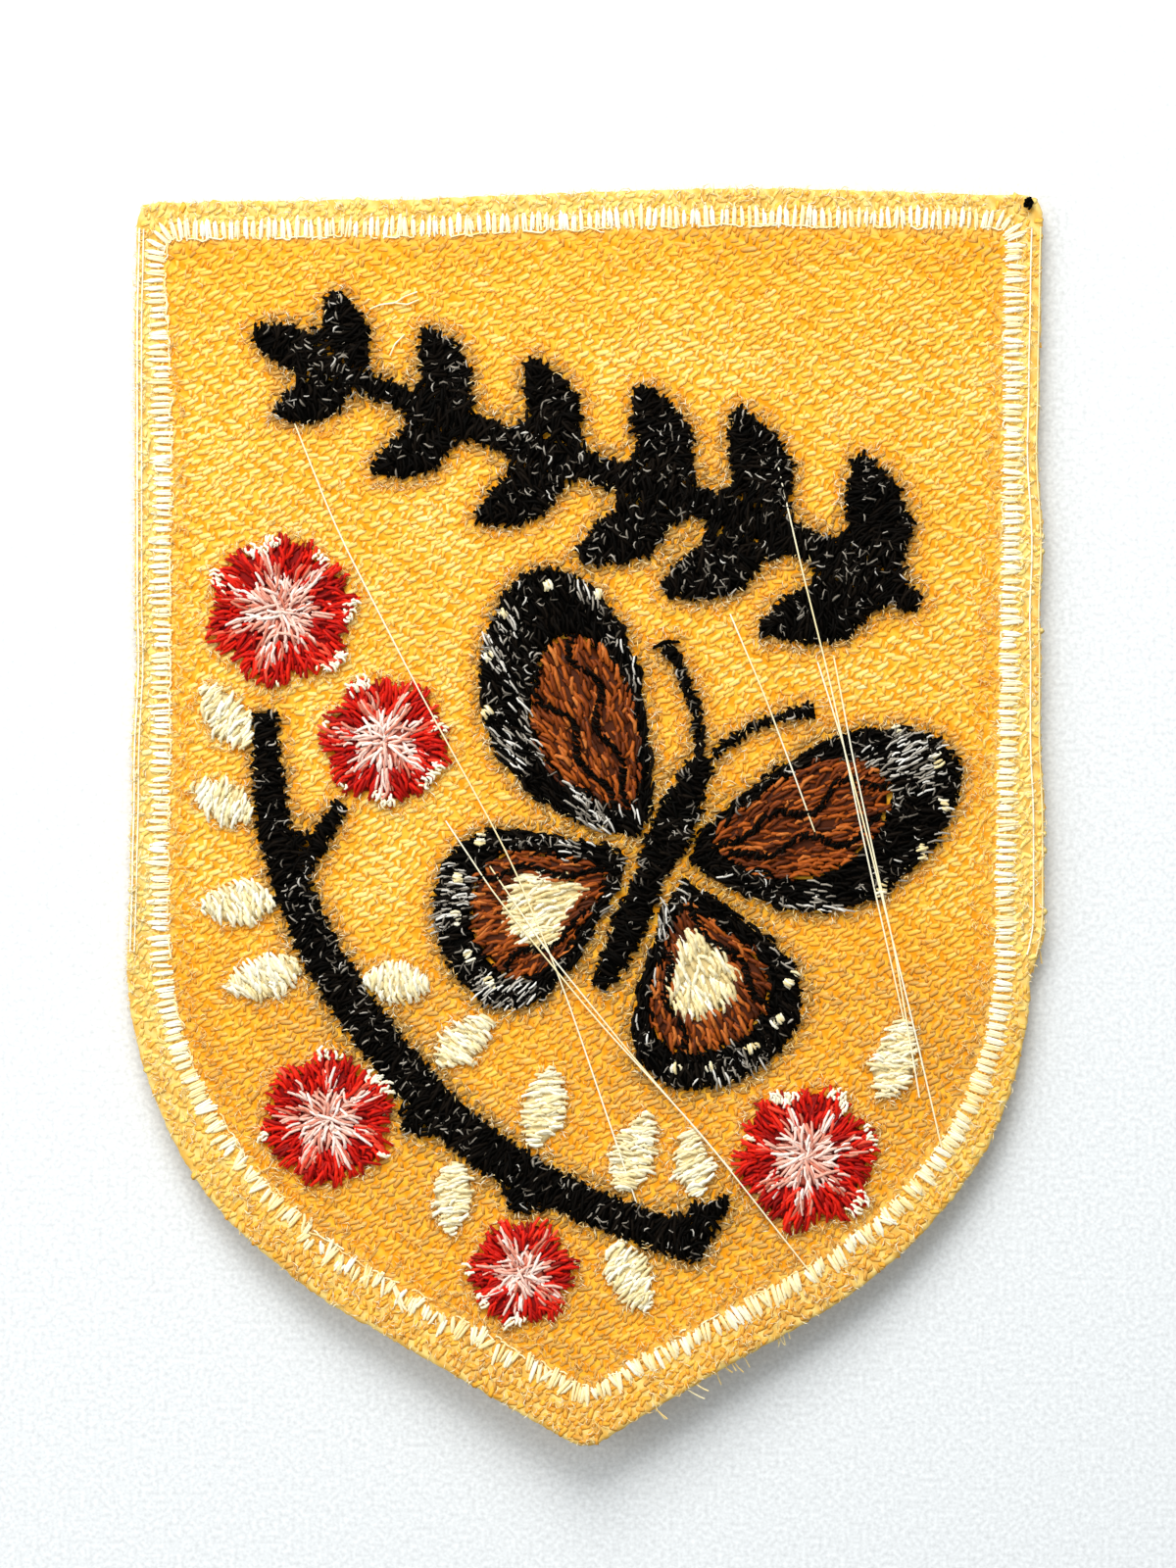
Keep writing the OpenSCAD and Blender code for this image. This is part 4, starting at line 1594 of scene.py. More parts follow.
@dataclass
class Border:
    """The border: white bobbin bars on the back, and yellow satin on the face."""

    shop: Workshop
    bar_pitch: float = 0.46
    bar_length: float = 1.32
    strand: float = 0.08
    satin_pitch: float = 0.30
    satin_width: float = 2.7
    satin_radius: float = 0.15
    satin_depth: float = 0.23
    # Stitches that the satin takes with one length of thread
    satin_stitches: int = 40
    # Below this height the bars lose their order, most of all on the left
    loose_below: float = -17.0
    # How far the bars lie outwards on the right, and where that starts and ends
    right_shift: tuple[float, float, float] = (0.18, 15.0, 23.0)
    # The share of the bars that a loop joins: on the side on the right, and elsewhere
    loop_shares: Pair = (0.12, 0.36)

    def build(self) -> None:
        """Make both sides of the border."""
        self.bars()
        self.satin()

    def looseness(self, places: Array) -> Array:
        """Tell how far the bars have lost their order: 0 is neat and 1 is loose."""
        low = ease(places[:, 1], self.loose_below, self.loose_below - 7)
        return low * (0.5 + 0.5 * ease(places[:, 0], 3, -2))

    def shift(self, x: Any) -> Any:
        """Tell how far the bars lie outwards, which they do on the right, in millimetres."""
        most, start, end = self.right_shift
        return most * ease(x, start, end)

    def bars(self) -> None:
        """Draw the bobbin bars, each of three strands, and the loops that join them."""
        bed = StrandBed(self.shop, 31)
        rng = bed.rng
        middle, out = evenly(self.shop.ring.middle, self.bar_pitch)
        loose = self.looseness(middle)
        ahead = np.stack([-out[:, 1], out[:, 0]], -1)
        half = self.bar_length / 2
        for at, way, side_way, mess in zip(middle, out, ahead, loose):
            lean = rng.normal(0, 0.07 + 0.2 * mess)
            at = (at + side_way * rng.normal(0, 0.03 + 0.06 * mess)
                  + way * (self.shift(at[0]) + rng.normal(0, 0.14) * mess))
            foot = at - way * (half * (1 - 0.12 * mess) + rng.normal(0, 0.05 + 0.1 * mess))
            tip = at + way * (half * (1 - 0.2 * mess) + rng.normal(0, 0.12)) + side_way * lean
            # Bars darken towards the bottom: painted shade, as the light falls off there
            tone = rng.uniform(0.5, 1.05) - 0.2 * ease(at[1], -10, -18)
            low = ease(at[1], -8, -18)
            spread = rng.uniform(0.06, 0.1) + 0.03 * low
            for turn in (-1, 0, 1):
                aside = side_way * (turn * spread + rng.normal(0, 0.02 + 0.06 * mess))
                short = way * rng.uniform(0, 0.26, 2)[:, None] * abs(turn)
                line = [(*(foot + short[0] + aside * 1.3), -0.04),
                        (*(foot * 0.7 + tip * 0.3 + aside), 0.05 + 0.02 * (turn == 0)),
                        (*(foot * 0.3 + tip * 0.7 + aside * 0.9), 0.05),
                        (*(tip - short[1] + aside * 0.6), -0.07)]
                bed.draw(line, np.array([0.8, 1.1, 1.05, 0.8]) * self.strand * (1 + 0.3 * low),
                         tone + rng.normal(0, 0.12))
        self.foot_loops(bed, middle, out, loose)
        bed.grow("border_bobbin", BOBBIN_THREAD, ["border_bobbin_back"])

    def foot_loops(self, bed: StrandBed, middle: Array, out: Array, loose: Array) -> None:
        """Draw the short loops between neighbouring bars, fewer on the side on the right.

        Args:
            bed: the bed that they join.
            middle: the bars' middles.
            out: the unit vectors that point outwards there.
            loose: how far the bars have lost their order.
        """
        rng = bed.rng
        inner = middle - out * (self.bar_length / 2 - self.shift(middle[:, :1]))
        share = np.where(middle[:, 0] > 20, *self.loop_shares)
        for k in np.nonzero(rng.random(len(middle)) < share)[0]:
            reach = int(rng.integers(1, 4))
            stations = (k + np.arange(reach + 1)) % len(middle)
            sway = rng.normal(0.03, 0.08, reach + 1) + rng.normal(0, 0.15) * loose[k]
            flat = inner[stations] + out[stations] * (sway + 0.04)[:, None]
            line = np.column_stack([flat, 0.04 * rng.random(reach + 1)])
            halfway = (line[:1] + line[1:2]) / 2 - (*(out[k] * 0.07), -0.02)
            bed.draw(np.vstack([line[:1], halfway, line[1:]]),
                     self.strand * rng.uniform(0.6, 0.85), rng.uniform(0.1, 0.7))

    def satin(self) -> None:
        """Draw the face's satin as one thread to and fro across the border."""
        bed = StrandBed(self.shop, 32)
        rng = bed.rng
        middle, out = evenly(self.shop.ring.middle, self.satin_pitch)
        half = self.satin_width / 2 - self.satin_radius
        count = len(middle)
        for start in range(0, count, self.satin_stitches):
            stations = np.arange(start, min(start + self.satin_stitches, count) + 1) % count
            line = []
            for turn, k in enumerate(stations):
                way = out[k] * (1 if turn % 2 else -1)
                for share, drop in ((-0.98, 0.0), (-0.5, 1.0), (0.5, 1.0)):
                    line.append((*(middle[k] + way * half * share), self.satin_depth * drop))
            bed.draw(np.array(line), self.satin_radius * rng.uniform(0.95, 1.0),
                     rng.uniform(0.35, 0.75), Side.FACE)
        bed.grow("border_satin", YELLOW_THREAD, ["border_satin_face"])


@dataclass(frozen=True)
class StitchStyle:
    """How one thread is stitched on one side."""

    density: float = 3.6
    longest: float = 2.4
    shortest: float = 0.4
    width: float = 0.27
    height: float = 0.27
    wander: float = 0.2
    ragged: float = 0.16
    pile: float = 0.14
    slant: float = 0.0
    tones: Pair = (0.1, 0.8)
    lift: float = 0.0
    # Whether the stitches keep to the petals' middles
    bundled: bool = False

    def neat(self) -> "StitchStyle":
        """Give the style of the face, where the same stitches lie in order."""
        return replace(self, density=3.6, longest=max(self.longest, 1.7), shortest=0.85,
                       width=0.3, height=0.2, wander=0.05, ragged=0.05, pile=0.05)


BLACK_STYLE = StitchStyle(density=6.6, longest=1.7, width=0.25, wander=0.45, ragged=0.24,
                          pile=0.2)
WING_EDGE_STYLE = replace(BLACK_STYLE, longest=1.5, wander=0.42, ragged=0.2)
WING_FIELD_STYLE = StitchStyle(density=4.6, longest=1.6, wander=0.26, ragged=0.1,
                               tones=(0.05, 0.9))
WING_HEART_STYLE = StitchStyle(density=4.6, longest=1.8, wander=0.22, tones=(0.3, 1.0))
PETAL_STYLE = StitchStyle(density=6.0, longest=1.5, ragged=0.2, wander=0.3, width=0.24,
                          pile=0.2, tones=(0.1, 0.95))
BLOOM_HEART_STYLE = StitchStyle(density=7.0, longest=1.6, width=0.2, wander=0.32, ragged=0.3,
                                pile=0.26, tones=(0.2, 1.0))
BLOOM_RAY_STYLE = StitchStyle(
    density=9.0, longest=1.6, shortest=0.3, width=0.19, height=0.12, wander=0.14, ragged=0.1,
    pile=0.2, tones=(0.05, 1.0), lift=0.18, bundled=True)
LEAF_STYLE = StitchStyle(density=8.0, longest=1.25, width=0.25, height=0.22, ragged=0.3,
                         slant=0.3, pile=0.16, tones=(0.4, 1.0))


@dataclass
class Embroidery:
    """One thread of the picture: its motifs, what lies under its stitches, and the stitches."""

    shop: Workshop
    name: str
    nodes: list[str]
    style: StitchStyle
    seed: int
    finish: Finish = BLACK_THREAD
    flow: Flow = Flow.SQUARE
    centres: dict[str, Array] = field(default_factory=dict)
    # The share of the solids' height that the underlay keeps, its tone, dark as painted shade in
    #     # the stitches' gaps, and the share of the petals' reach that it has under lobed blooms
    underlay_share: float = 0.3
    underlay_shade_tone: float = 0.1
    petal_underlay: float = 0.88
    # Shapes that this thread also crosses, over the stitches that fill them
    overlaid: list[Motif] = field(default_factory=list)
    over_style: StitchStyle | None = None
    petals: bool = False
    # Cells that stitches reach past the solids, and the half width of gaps that they cross
    spare: int = 1
    bridge: int = 0

    def __post_init__(self) -> None:
        """Read the motifs, and mark them on the patch."""
        self.motifs = [Motif.read(node, self.flow, self.centres.get(node), self.spare)
                       for node in self.nodes]
        self.bed = ThreadBed(self.shop, self.seed)
        if self.bridge:
            self.motifs.append(self.bridged())
        for motif in self.motifs:
            self.shop.patch.mark(motif, self.finish is BLACK_THREAD)
            if self.petals:
                motif.lobed()

    def bridged(self) -> Motif:
        """Make the shape that fills the narrow gaps between the motifs.

        Returns:
            The shape.
        """
        grid = self.shop.patch.grid
        whole = np.zeros_like(self.shop.patch.cloth)
        for motif in self.motifs:
            whole[grid.cells(motif.grid.places(motif.mask))] = True
        return Motif(grid, grown(grown(grown(whole, self.bridge), -self.bridge) & ~whole, 3),
                     Flow.SQUARE)

    def stitch(self, motif: Motif, style: StitchStyle, side: Side) -> None:
        """Fill a motif with stitches on one side.

        Args:
            motif: the motif.
            style: how it is stitched.
            side: the side of the cloth.
        """
        rng = self.bed.rng
        places = motif.lattice(style.density, rng)
        if style.bundled:
            places = places[rng.random(len(places)) < motif.grid.read(motif.rays, places) ** 4]
        count = len(places)
        headings = motif.headings(places) + style.slant + rng.normal(0, style.wander, count)
        ways = along(headings)
        ahead = motif.reach(places, ways, style.longest)
        behind = motif.reach(places, -ways, style.longest)
        # The tone falls where rays is low, between the petals: painted shade in the valleys
        # between them
        rays = motif.grid.read(motif.rays, places)
        longest = style.longest * rng.uniform(style.shortest, 1, count)
        half = np.minimum(ahead + behind, longest) / 2
        slide = np.clip(0, half - behind, ahead - half)
        half = half + rng.uniform(-0.3, 1, count) * style.ragged
        length = np.maximum(2 * half, 2.2 * style.width)
        self.bed.lay(places + ways * slide[:, None], headings,
                     (length, style.width, style.height),
                     style.lift + rng.uniform(0, style.pile, count),
                     rng.uniform(*style.tones, count) * (0.45 + 0.55 * rays), side)

    def underlay(self) -> Object:
        """Copy the solids, press them flat on the cloth and join them under the stitches, in a
        tone dark as painted shade between them.

        Returns:
            The copy, in no collection.
        """
        patch = self.shop.patch
        whole = bmesh.new()
        for node in self.nodes:
            start = len(whole.verts)
            whole.from_mesh(frame["nodes"][node].data)
            if self.petals:
                whole.verts.ensure_lookup_table()
                middle = Vector(self.centres[node] * MM)
                for vertex in whole.verts[start:]:
                    vertex.co.xy = middle + (vertex.co.xy - middle) * self.petal_underlay
        bmesh.ops.remove_doubles(whole, verts=whole.verts, dist=1e-7)
        mesh = bpy.data.meshes.new(f"{self.name} underlay")
        whole.to_mesh(mesh)
        whole.free()
        places = vertices_of(mesh) / MM
        top, under = (patch.grid.read(m, places[:, :2]) for m in (patch.top, patch.under))
        back = places[:, 2] > (top + under) / 2
        places[:, 2] = (places[:, 2] - np.where(back, top, under)) * self.underlay_share
        mesh.vertices.foreach_set("co", (places * MM).ravel())
        count = len(places)
        give_numbers(mesh, {
            "side": np.where(back, 1.0, -1.0), "tone": np.full(count, self.underlay_shade_tone),
            "along": np.full(count, 0.5), "across": np.zeros(count), "run": np.ones(count)})
        mesh.materials.clear()
        return bpy.data.objects.new(mesh.name, mesh)

    def build(self) -> None:
        """Stitch every motif on both sides, and make the piece."""
        for motif in self.motifs:
            self.stitch(motif, self.style, Side.BACK)
            self.stitch(motif, self.style.neat(), Side.FACE)
        for motif in self.overlaid:
            self.stitch(motif, self.over_style, Side.BACK)
        below = self.underlay()
        self.bed.grow(self.name, self.finish, self.nodes, underlay=below, unevenness=0.12)
        bpy.data.meshes.remove(below.data)


class Picture:
    """The whole stitched picture: a leafy sprig, a butterfly, and a twig with blooms."""

    # Stitches in a spot of the wings, and how far the spots lie inside the wings' rim
    spot_stitches = 7
    spot_inset = 1.35
    # The share of the petals' length that the rays over a bloom's heart keep
    ray_reach = 0.88
    # Tufts on a square millimetre of petal, and how far from the middle they start
    tuft_density = 14.0
    tuft_from = 2.6

    def __init__(self, shop: Workshop) -> None:
        """Plan each thread's part of the picture.

        Args:
            shop: the workshop.
        """
        self.shop = shop
        self.centre = self.middle("butterfly_body")
        self.edges = nodes_named("fore_wing_edge", "hind_wing_edge")
        self.fields = nodes_named("fore_wing_field", "hind_wing_field")
        hearts = nodes_named("hind_wing_heart")
        self.petals, cores = nodes_named("bloom_petals"), nodes_named("bloom_heart")
        self.middles = [self.middle(core) for core in cores]
        self.threads = [
            Embroidery(shop, "sprig_stitches", nodes_named("sprig_"), BLACK_STYLE, 41, bridge=6),
            Embroidery(shop, "twig_stitches", nodes_named("twig_"), BLACK_STYLE, 42, bridge=7),
            Embroidery(shop, "wing_edge_stitches", self.edges, WING_EDGE_STYLE, 43,
                       flow=Flow.FAN, centres=dict.fromkeys(self.edges, self.centre)),
            Embroidery(shop, "butterfly_body_stitches", nodes_named("butterfly_body", "antenna_"),
                       BLACK_STYLE, 44),
            Embroidery(shop, "wing_field_stitches", self.fields, WING_FIELD_STYLE, 45,
                       RUST_THREAD, Flow.FAN, dict.fromkeys(self.fields, self.centre), spare=3),
            Embroidery(shop, "wing_heart_stitches", hearts, WING_HEART_STYLE, 46, CREAM_THREAD,
                       Flow.FAN, dict.fromkeys(hearts, self.centre), underlay_shade_tone=0.3, spare=3),
            Embroidery(shop, "bloom_petal_stitches", self.petals, PETAL_STYLE, 47, RED_THREAD,
                       Flow.FAN, dict(zip(self.petals, self.middles)), petals=True),
            Embroidery(shop, "bloom_heart_stitches", cores, BLOOM_HEART_STYLE, 48, PINK_THREAD,
                       Flow.FAN, dict(zip(cores, self.middles)), underlay_shade_tone=0.0, spare=3,
                       overlaid=[Motif.read(node, Flow.FAN, middle).lobed(self.ray_reach)
                                 for node, middle in zip(self.petals, self.middles)],
                       over_style=BLOOM_RAY_STYLE),
            Embroidery(shop, "leaf_stitches", nodes_named("cream_leaf_"), LEAF_STYLE, 49,
                       CREAM_THREAD, Flow.ACROSS, underlay_shade_tone=0.35)]

    @staticmethod
    def middle(node: str) -> Array:
        """Give the middle of a solid, seen from above, in millimetres."""
        low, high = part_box(node)
        return np.array([(low[0] + high[0]) / 2, (low[1] + high[1]) / 2]) / MM

    def build(self) -> None:
        """Make every thread's piece."""
        for thread in self.threads:
            thread.build()
        self.streaks()
        self.veins()
        self.spots()
        self.bloom_tips()

    def bloom_tips(self) -> None:
        """Leave tufts of bobbin thread on the back at some of the petals' tips."""
        bed = ThreadBed(self.shop, 64)
        for node, middle in zip(self.petals, self.middles):
            petals = Motif.read(node, Flow.FAN, middle, 2).lobed()
            rim = petals.mask & ~grown(petals.mask, -6)
            places = petals.lattice(self.tuft_density, bed.rng)
            places = places[(petals.grid.read(rim * petals.rays, places) > 0.8)
                            & (np.linalg.norm(places - middle, axis=1) > self.tuft_from)
                            & (TwillCloth.cloud(places * 1.3) > 0.06)]
            count = len(places)
            bed.lay(places, petals.headings(places) + bed.rng.normal(0, 0.4, count),
                    (bed.rng.uniform(0.3, 0.75, count), 0.2, 0.16),
                    bed.rng.uniform(0.2, 0.36, count), bed.rng.uniform(0.7, 1.0, count))
        bed.grow("bloom_tip_tufts", BOBBIN_THREAD)

    def veins(self) -> None:
        """Stitch black veins across the wings' fields."""
        bed = ThreadBed(self.shop, 61)
        for node in self.fields:
            angles, radii = self.polar(Motif.read(node, Flow.FAN, self.centre))
            low, high = np.quantile(angles, (0.03, 0.97))
            for share in ((0.3, 0.68) if node.startswith("fore") else (0.14, 0.86)):
                turn = low + share * (high - low)
                near = radii[np.abs(angles - turn) < 0.05]
                run = np.arange(near.min() + 0.2, near.max(), 0.15)
                turns = turn + 0.05 * np.sin(run * 1.3 + 5 * share)
                for side, wild in ((Side.BACK, 0.5), (Side.FACE, 0.06)):
                    heading = turns + bed.rng.normal(0.6, wild, len(run))
                    bed.lay(self.centre + along(turns) * run[:, None], heading,
                            (0.62, 0.2, 0.24), 0.14 + 0.3 * wild * bed.rng.random(len(run)),
                            bed.rng.uniform(0.1, 0.8, len(run)), side)
        bed.grow("wing_vein_stitches", BLACK_THREAD)

    def spots(self) -> None:
        """Stitch pale spots along the wings' edges."""
        bed = ThreadBed(self.shop, 62)
        count = self.spot_stitches
        for node in self.edges:
            angles, radii = self.polar(Motif.read(node, Flow.FAN, self.centre))
            low, high = np.quantile(angles, (0.02, 0.98))
            for turn in np.linspace(low, high, 7)[1:-1]:
                reach = radii[np.abs(angles - turn) < 0.06].max() - self.spot_inset
                aside = bed.rng.normal(0, 0.26, count)
                middles = self.centre + along(turn) * reach + np.column_stack(
                    [-np.sin(turn) * aside, np.cos(turn) * aside])
                for side, wild in ((Side.BACK, 0.25), (Side.FACE, 0.03)):
                    bed.lay(middles, turn + bed.rng.normal(0, wild, count),
                            (bed.rng.uniform(0.4, 0.85, count), 0.2, 0.24),
                            bed.rng.uniform(0.1, 0.1 + wild, count),
                            bed.rng.uniform(0.3, 1.0, count), side, 3)
        bed.grow("wing_spot_stitches", CREAM_THREAD)

    def streaks(self) -> None:
        """Let streaks of bobbin thread show in the wings' edges, on the back."""
        bed = ThreadBed(self.shop, 63)
        for node in self.edges:
            motif = Motif.read(node, Flow.FAN, self.centre)
            places = motif.lattice(7.0, bed.rng)
            clump = TwillCloth.cloud(places * 1.6 + 3) + bed.rng.normal(0, 0.16, len(places))
            places = places[clump > 0.38]
            count = len(places)
            heading = motif.headings(places) + bed.rng.normal(0, 0.16, count)
            bed.lay(places, heading, (bed.rng.uniform(0.5, 1.3, count), 0.14, 0.15),
                    bed.rng.uniform(0.2, 0.36, count), bed.rng.beta(1.4, 1.3, count))
        bed.grow("wing_streaks", FLECK_THREAD)

    @staticmethod
    def polar(motif: Motif) -> tuple[Array, Array]:
        """Give the angles and distances of a shape's cells from its fan's centre.

        Args:
            motif: the shape, which lies to one side of the centre.

        Returns:
            The angles, without a jump, and the distances.
        """
        out = motif.grid.places(motif.mask) - motif.centre
        mean = np.arctan2(*out.mean(0)[::-1])
        angles = np.arctan2(out[:, 1], out[:, 0]) - mean
        return (angles + math.pi) % (2 * math.pi) - math.pi + mean, np.linalg.norm(out, axis=1)


@dataclass
class LooseThreads:
    """Threads and fibres that aren't part of any stitch: jumps, flecks, halo, fuzz and snips."""

    shop: Workshop
    jump_radius: float = 0.055
    # How high jumps and pulled threads stand off the cloth
    jump_rise: float = 0.42
    pull_rise: float = 0.04
    speck: Pair = (27.9, 38.5)
    speck_threads: int = 14
    fray_threads: int = 5
    fuzz_pitch: float = 0.12
    frays: tuple[Pair, ...] = (
        (28.9, -8.1), (4.2, -37.6), (7.2, -36.2), (8.4, -35.6), (9.9, -34.6), (12.4, -32.9))
    halo_density: float = 10.0
    fleck_density: float = 3.4
    # The threads along the sides: 1 for the right and -1 for the left, the distance from the
    # cut edge, the half thickness and the tone
    side_threads: tuple[tuple[float, ...], ...] = (
        (1, 0.68, 0.06, 0.9), (1, 0.12, 0.06, 0.3), (-1, 0.42, 0.05, 0.9), (-1, 0.15, 0.06, 1.0))
    side_from: float = 25.0
    side_span: Pair = (-9.5, 37.6)
    # Jumps from one motif to the next: x, y along each
    jumps: tuple[tuple[Pair, ...], ...] = (
        ((-18.3, 24.6), (-15.6, 17.8), (-10.6, 8.0), (-4.8, -2.6), (-1.4, -10.8), (3.2, -24.4)),
        ((9.1, 12.6), (11.2, 7.6), (13.0, 2.8), (14.6, -1.6)),
        ((11.9, 22.8), (13.6, 15.4), (15.4, 8.2), (17.6, -2.2), (20.4, -14.6)),
        ((14.6, 9.6), (16.2, 4.4), (17.6, -1.0), (20.6, -13.2), (22.4, -21.0)),
        ((15.6, 10.0), (16.8, 3.6), (19.4, -8.4), (21.0, -17.8)),
        ((-8.8, -0.4), (-5.6, -5.2), (0.6, -12.8), (7.4, -20.2), (14.0, -28.6)),
        ((-6.2, -3.0), (-2.4, -8.6), (2.8, -15.0), (9.2, -22.4)))
    # Threads of the cloth that something has pulled up a little
    pulls: tuple[tuple[Pair, ...], ...] = (
        ((-13.6, 31.8), (-12.9, 32.1), (-12.0, 32.2), (-11.4, 32.6), (-10.6, 32.9)),
        ((-12.3, 28.9), (-12.0, 29.6), (-11.4, 30.2)),
        ((-12.0, 32.2), (-11.2, 32.1), (-10.5, 32.4)))

    def build(self) -> None:
        """Make the loose pieces."""
        self.strands()
        self.corner_speck()
        self.flecks()
        self.halo()
        self.edge_fuzz()

    def strands(self) -> None:
        """Draw the jump threads, the threads that run along the cut edge, and its frays."""
        bed = StrandBed(self.shop, 51)
        routes = ([(jump, self.jump_rise) for jump in self.jumps]
                  + [(pull, self.pull_rise) for pull in self.pulls])
        for route, rise in routes:
            route = np.array(route)
            run = np.linspace(0, len(route) - 1, 28)
            flat = np.stack([np.interp(run, np.arange(len(route)), route[:, k])
                             for k in (0, 1)], -1)
            flat[1:-1] = (flat[:-2] + flat[1:-1] + flat[2:]) / 3
            share = np.linspace(0, 1, len(flat))
            height = 0.1 + rise * np.sin(math.pi * share) ** 0.4
            bed.draw(np.column_stack([flat, height]), self.jump_radius,
                     0.7 + 0.2 * np.sin(9 * share + bed.rng.uniform(0, 6)))
        edge, out = evenly(self.shop.patch.loop(self.shop.patch.cloth)[1], 0.5)
        south, north = self.side_span
        for side, inset, radius, tone in self.side_threads:
            picks = np.nonzero((side * edge[:, 0] > self.side_from) & (edge[:, 1] > south)
                               & (edge[:, 1] < north))[0]
            picks = picks[np.argsort(edge[picks, 1])]
            flat = (edge - out * inset)[picks]
            flat = sum(flat[np.clip(np.arange(len(flat)) + k, 0, len(flat) - 1)]
                       for k in range(-3, 4)) / 7
            height = 0.02 + 0.05 * bed.rng.random(len(picks))
            bed.draw(np.column_stack([flat, height]), radius,
                     tone + bed.rng.normal(0, 0.08, len(picks)))
        for place in self.frays:
            self.fray(bed, np.array(place), edge, out)
        bed.grow("loose_threads", BOBBIN_THREAD)

    def fray(self, bed: StrandBed, place: Array, edge: Array, out: Array) -> None:
        """Pull a few threads out of the cut edge.

        Args:
            bed: the bed that they join.
            place: about where.
            edge: points of the cut edge.
            out: the unit vectors that point outwards there.
        """
        near = np.linalg.norm(edge - place, axis=1).argmin()
        hanging = place[0] > self.side_from
        for _ in range(self.fray_threads):
            way = out[near] * (0.3 if hanging else 1) + bed.rng.normal(0, 0.4, 2)
            way[1] -= 1.2 if hanging else 0
            bend = bed.rng.normal(0, 0.35, 2)
            start = edge[near] + bed.rng.normal(0, 0.35) * np.array([-out[near][1], out[near][0]])
            share = np.linspace(0, 1, 5)[:, None]
            flat = start - out[near] * 0.25 + way * share * 0.6 + bend * share ** 2
            drop = -0.1 - bed.rng.uniform(0.1, 0.7) * share
            bed.draw(np.hstack([flat, drop]), bed.rng.uniform(0.035, 0.06),
                     bed.rng.uniform(0.1, 0.6))

    def corner_speck(self) -> None:
        """Leave a knot of dark thread on the upper right corner."""
        bed = ThreadBed(self.shop, 55)
        count = self.speck_threads
        places = np.array(self.speck) + bed.rng.normal(0, 0.09, (count, 2))
        bed.lay(places, bed.rng.uniform(0, math.pi, count), (0.42, 0.2, 0.2),
                bed.rng.uniform(0.05, 0.2, count), bed.rng.uniform(0, 0.3, count))
        bed.grow("corner_speck", BLACK_THREAD)

    def flecks(self) -> None:
        """Strew curls of bobbin thread that show between the dark stitches."""
        bed = ThreadBed(self.shop, 52)
        places = bed.strewn(grown(self.shop.patch.dark, -1), self.fleck_density)
        clump = TwillCloth.cloud(places * 2.3) + bed.rng.normal(0, 0.4, len(places))
        places = places[clump > -0.2]
        count = len(places)
        length = bed.rng.uniform(0.35, 0.8, count)
        thick = length * bed.rng.uniform(1.0, 1.5, count)
        bed.lay(places, bed.rng.uniform(0, math.pi, count), (length, thick, thick),
                bed.rng.uniform(0.2, 0.36, count), bed.rng.beta(1.3, 2.8, count))
        bed.grow("bobbin_flecks", FLECK_THREAD, box=self.shop.curls)

    def halo(self) -> None:
        """Raise pale cotton fibres round the stitched motifs, where the needle pulled them up."""
        bed = ThreadBed(self.shop, 53)
        patch = self.shop.patch
        rim = (grown(patch.stitched, 5) | grown(patch.dark, 8)) & ~grown(patch.stitched, -2)
        places = bed.strewn(rim, self.halo_density)
        soft = blurred(patch.stitched.astype(float), 4)
        up, right = np.gradient(soft)
        out = np.arctan2(-patch.grid.read(up, places), -patch.grid.read(right, places))
        count = len(places)
        heading = out + bed.rng.normal(0, 1.1, count)
        length = bed.rng.uniform(0.3, 0.85, count)
        bed.lay(places, heading, (length, length, length), bed.rng.uniform(0.0, 0.14, count),
                bed.rng.uniform(0.1, 0.9, count), kinds=5)
        for mask, density, tones in (
                (grown(patch.cloth, -4) & ~patch.stitched, 0.4, (0.2, 0.6)),
                (self.band(-2.1, -0.55, 33.0), 7.0, (0.2, 0.6)),
                (self.band(0.45, 9.0), 5.0, (0.4, 0.9))):
            fuzz = bed.strewn(mask, density)
            count = len(fuzz)
            length = bed.rng.uniform(0.3, 0.8, count)
            bed.lay(fuzz, bed.rng.uniform(0, 2 * math.pi, count), (length, length, length),
                    bed.rng.uniform(0.0, 0.06, count), bed.rng.uniform(*tones, count), kinds=5)
        bed.grow("cotton_halo", FUZZ_FIBRE, box=self.shop.fibres)

    def band(self, near: float, far: float, below: float = 99.0) -> Array:
        """Give the mask of a band of the cloth along the border.

        Args:
            near: where it starts, outside the border's middle.
            far: where it ends.
            below: its highest y.

        Returns:
            The mask.
        """
        patch = self.shop.patch
        places = patch.grid.everywhere()
        beyond = self.shop.ring.beyond(places)
        return patch.cloth & (beyond > near) & (beyond < far) & (places[..., 1] < below)

    def edge_fuzz(self) -> None:
        """Fray the raw cut edge."""
        bed = ThreadBed(self.shop, 54)
        patch = self.shop.patch
        edge = patch.loop(patch.cloth)[1]
        steps, out = evenly(edge, self.fuzz_pitch)
        steps, out = np.vstack([steps, steps]), np.vstack([out, out])
        count = len(steps)
        heading = np.arctan2(out[:, 1], out[:, 0]) + bed.rng.normal(0, 0.8, count)
        length = bed.rng.uniform(0.25, 0.7, count) + bed.rng.exponential(0.08, count)
        length *= np.where((steps[:, 1] < -12) | (steps[:, 0] > self.side_from), 0.4, 1.0)
        bed.lay(steps - out * bed.rng.uniform(0, 0.3, (count, 1)), heading,
                (length, length, length), bed.rng.uniform(-0.9, 0.02, count),
                bed.rng.uniform(0.4, 1.0, count), kinds=5)
        bed.grow("edge_fuzz", FUZZ_FIBRE, box=self.shop.fibres)


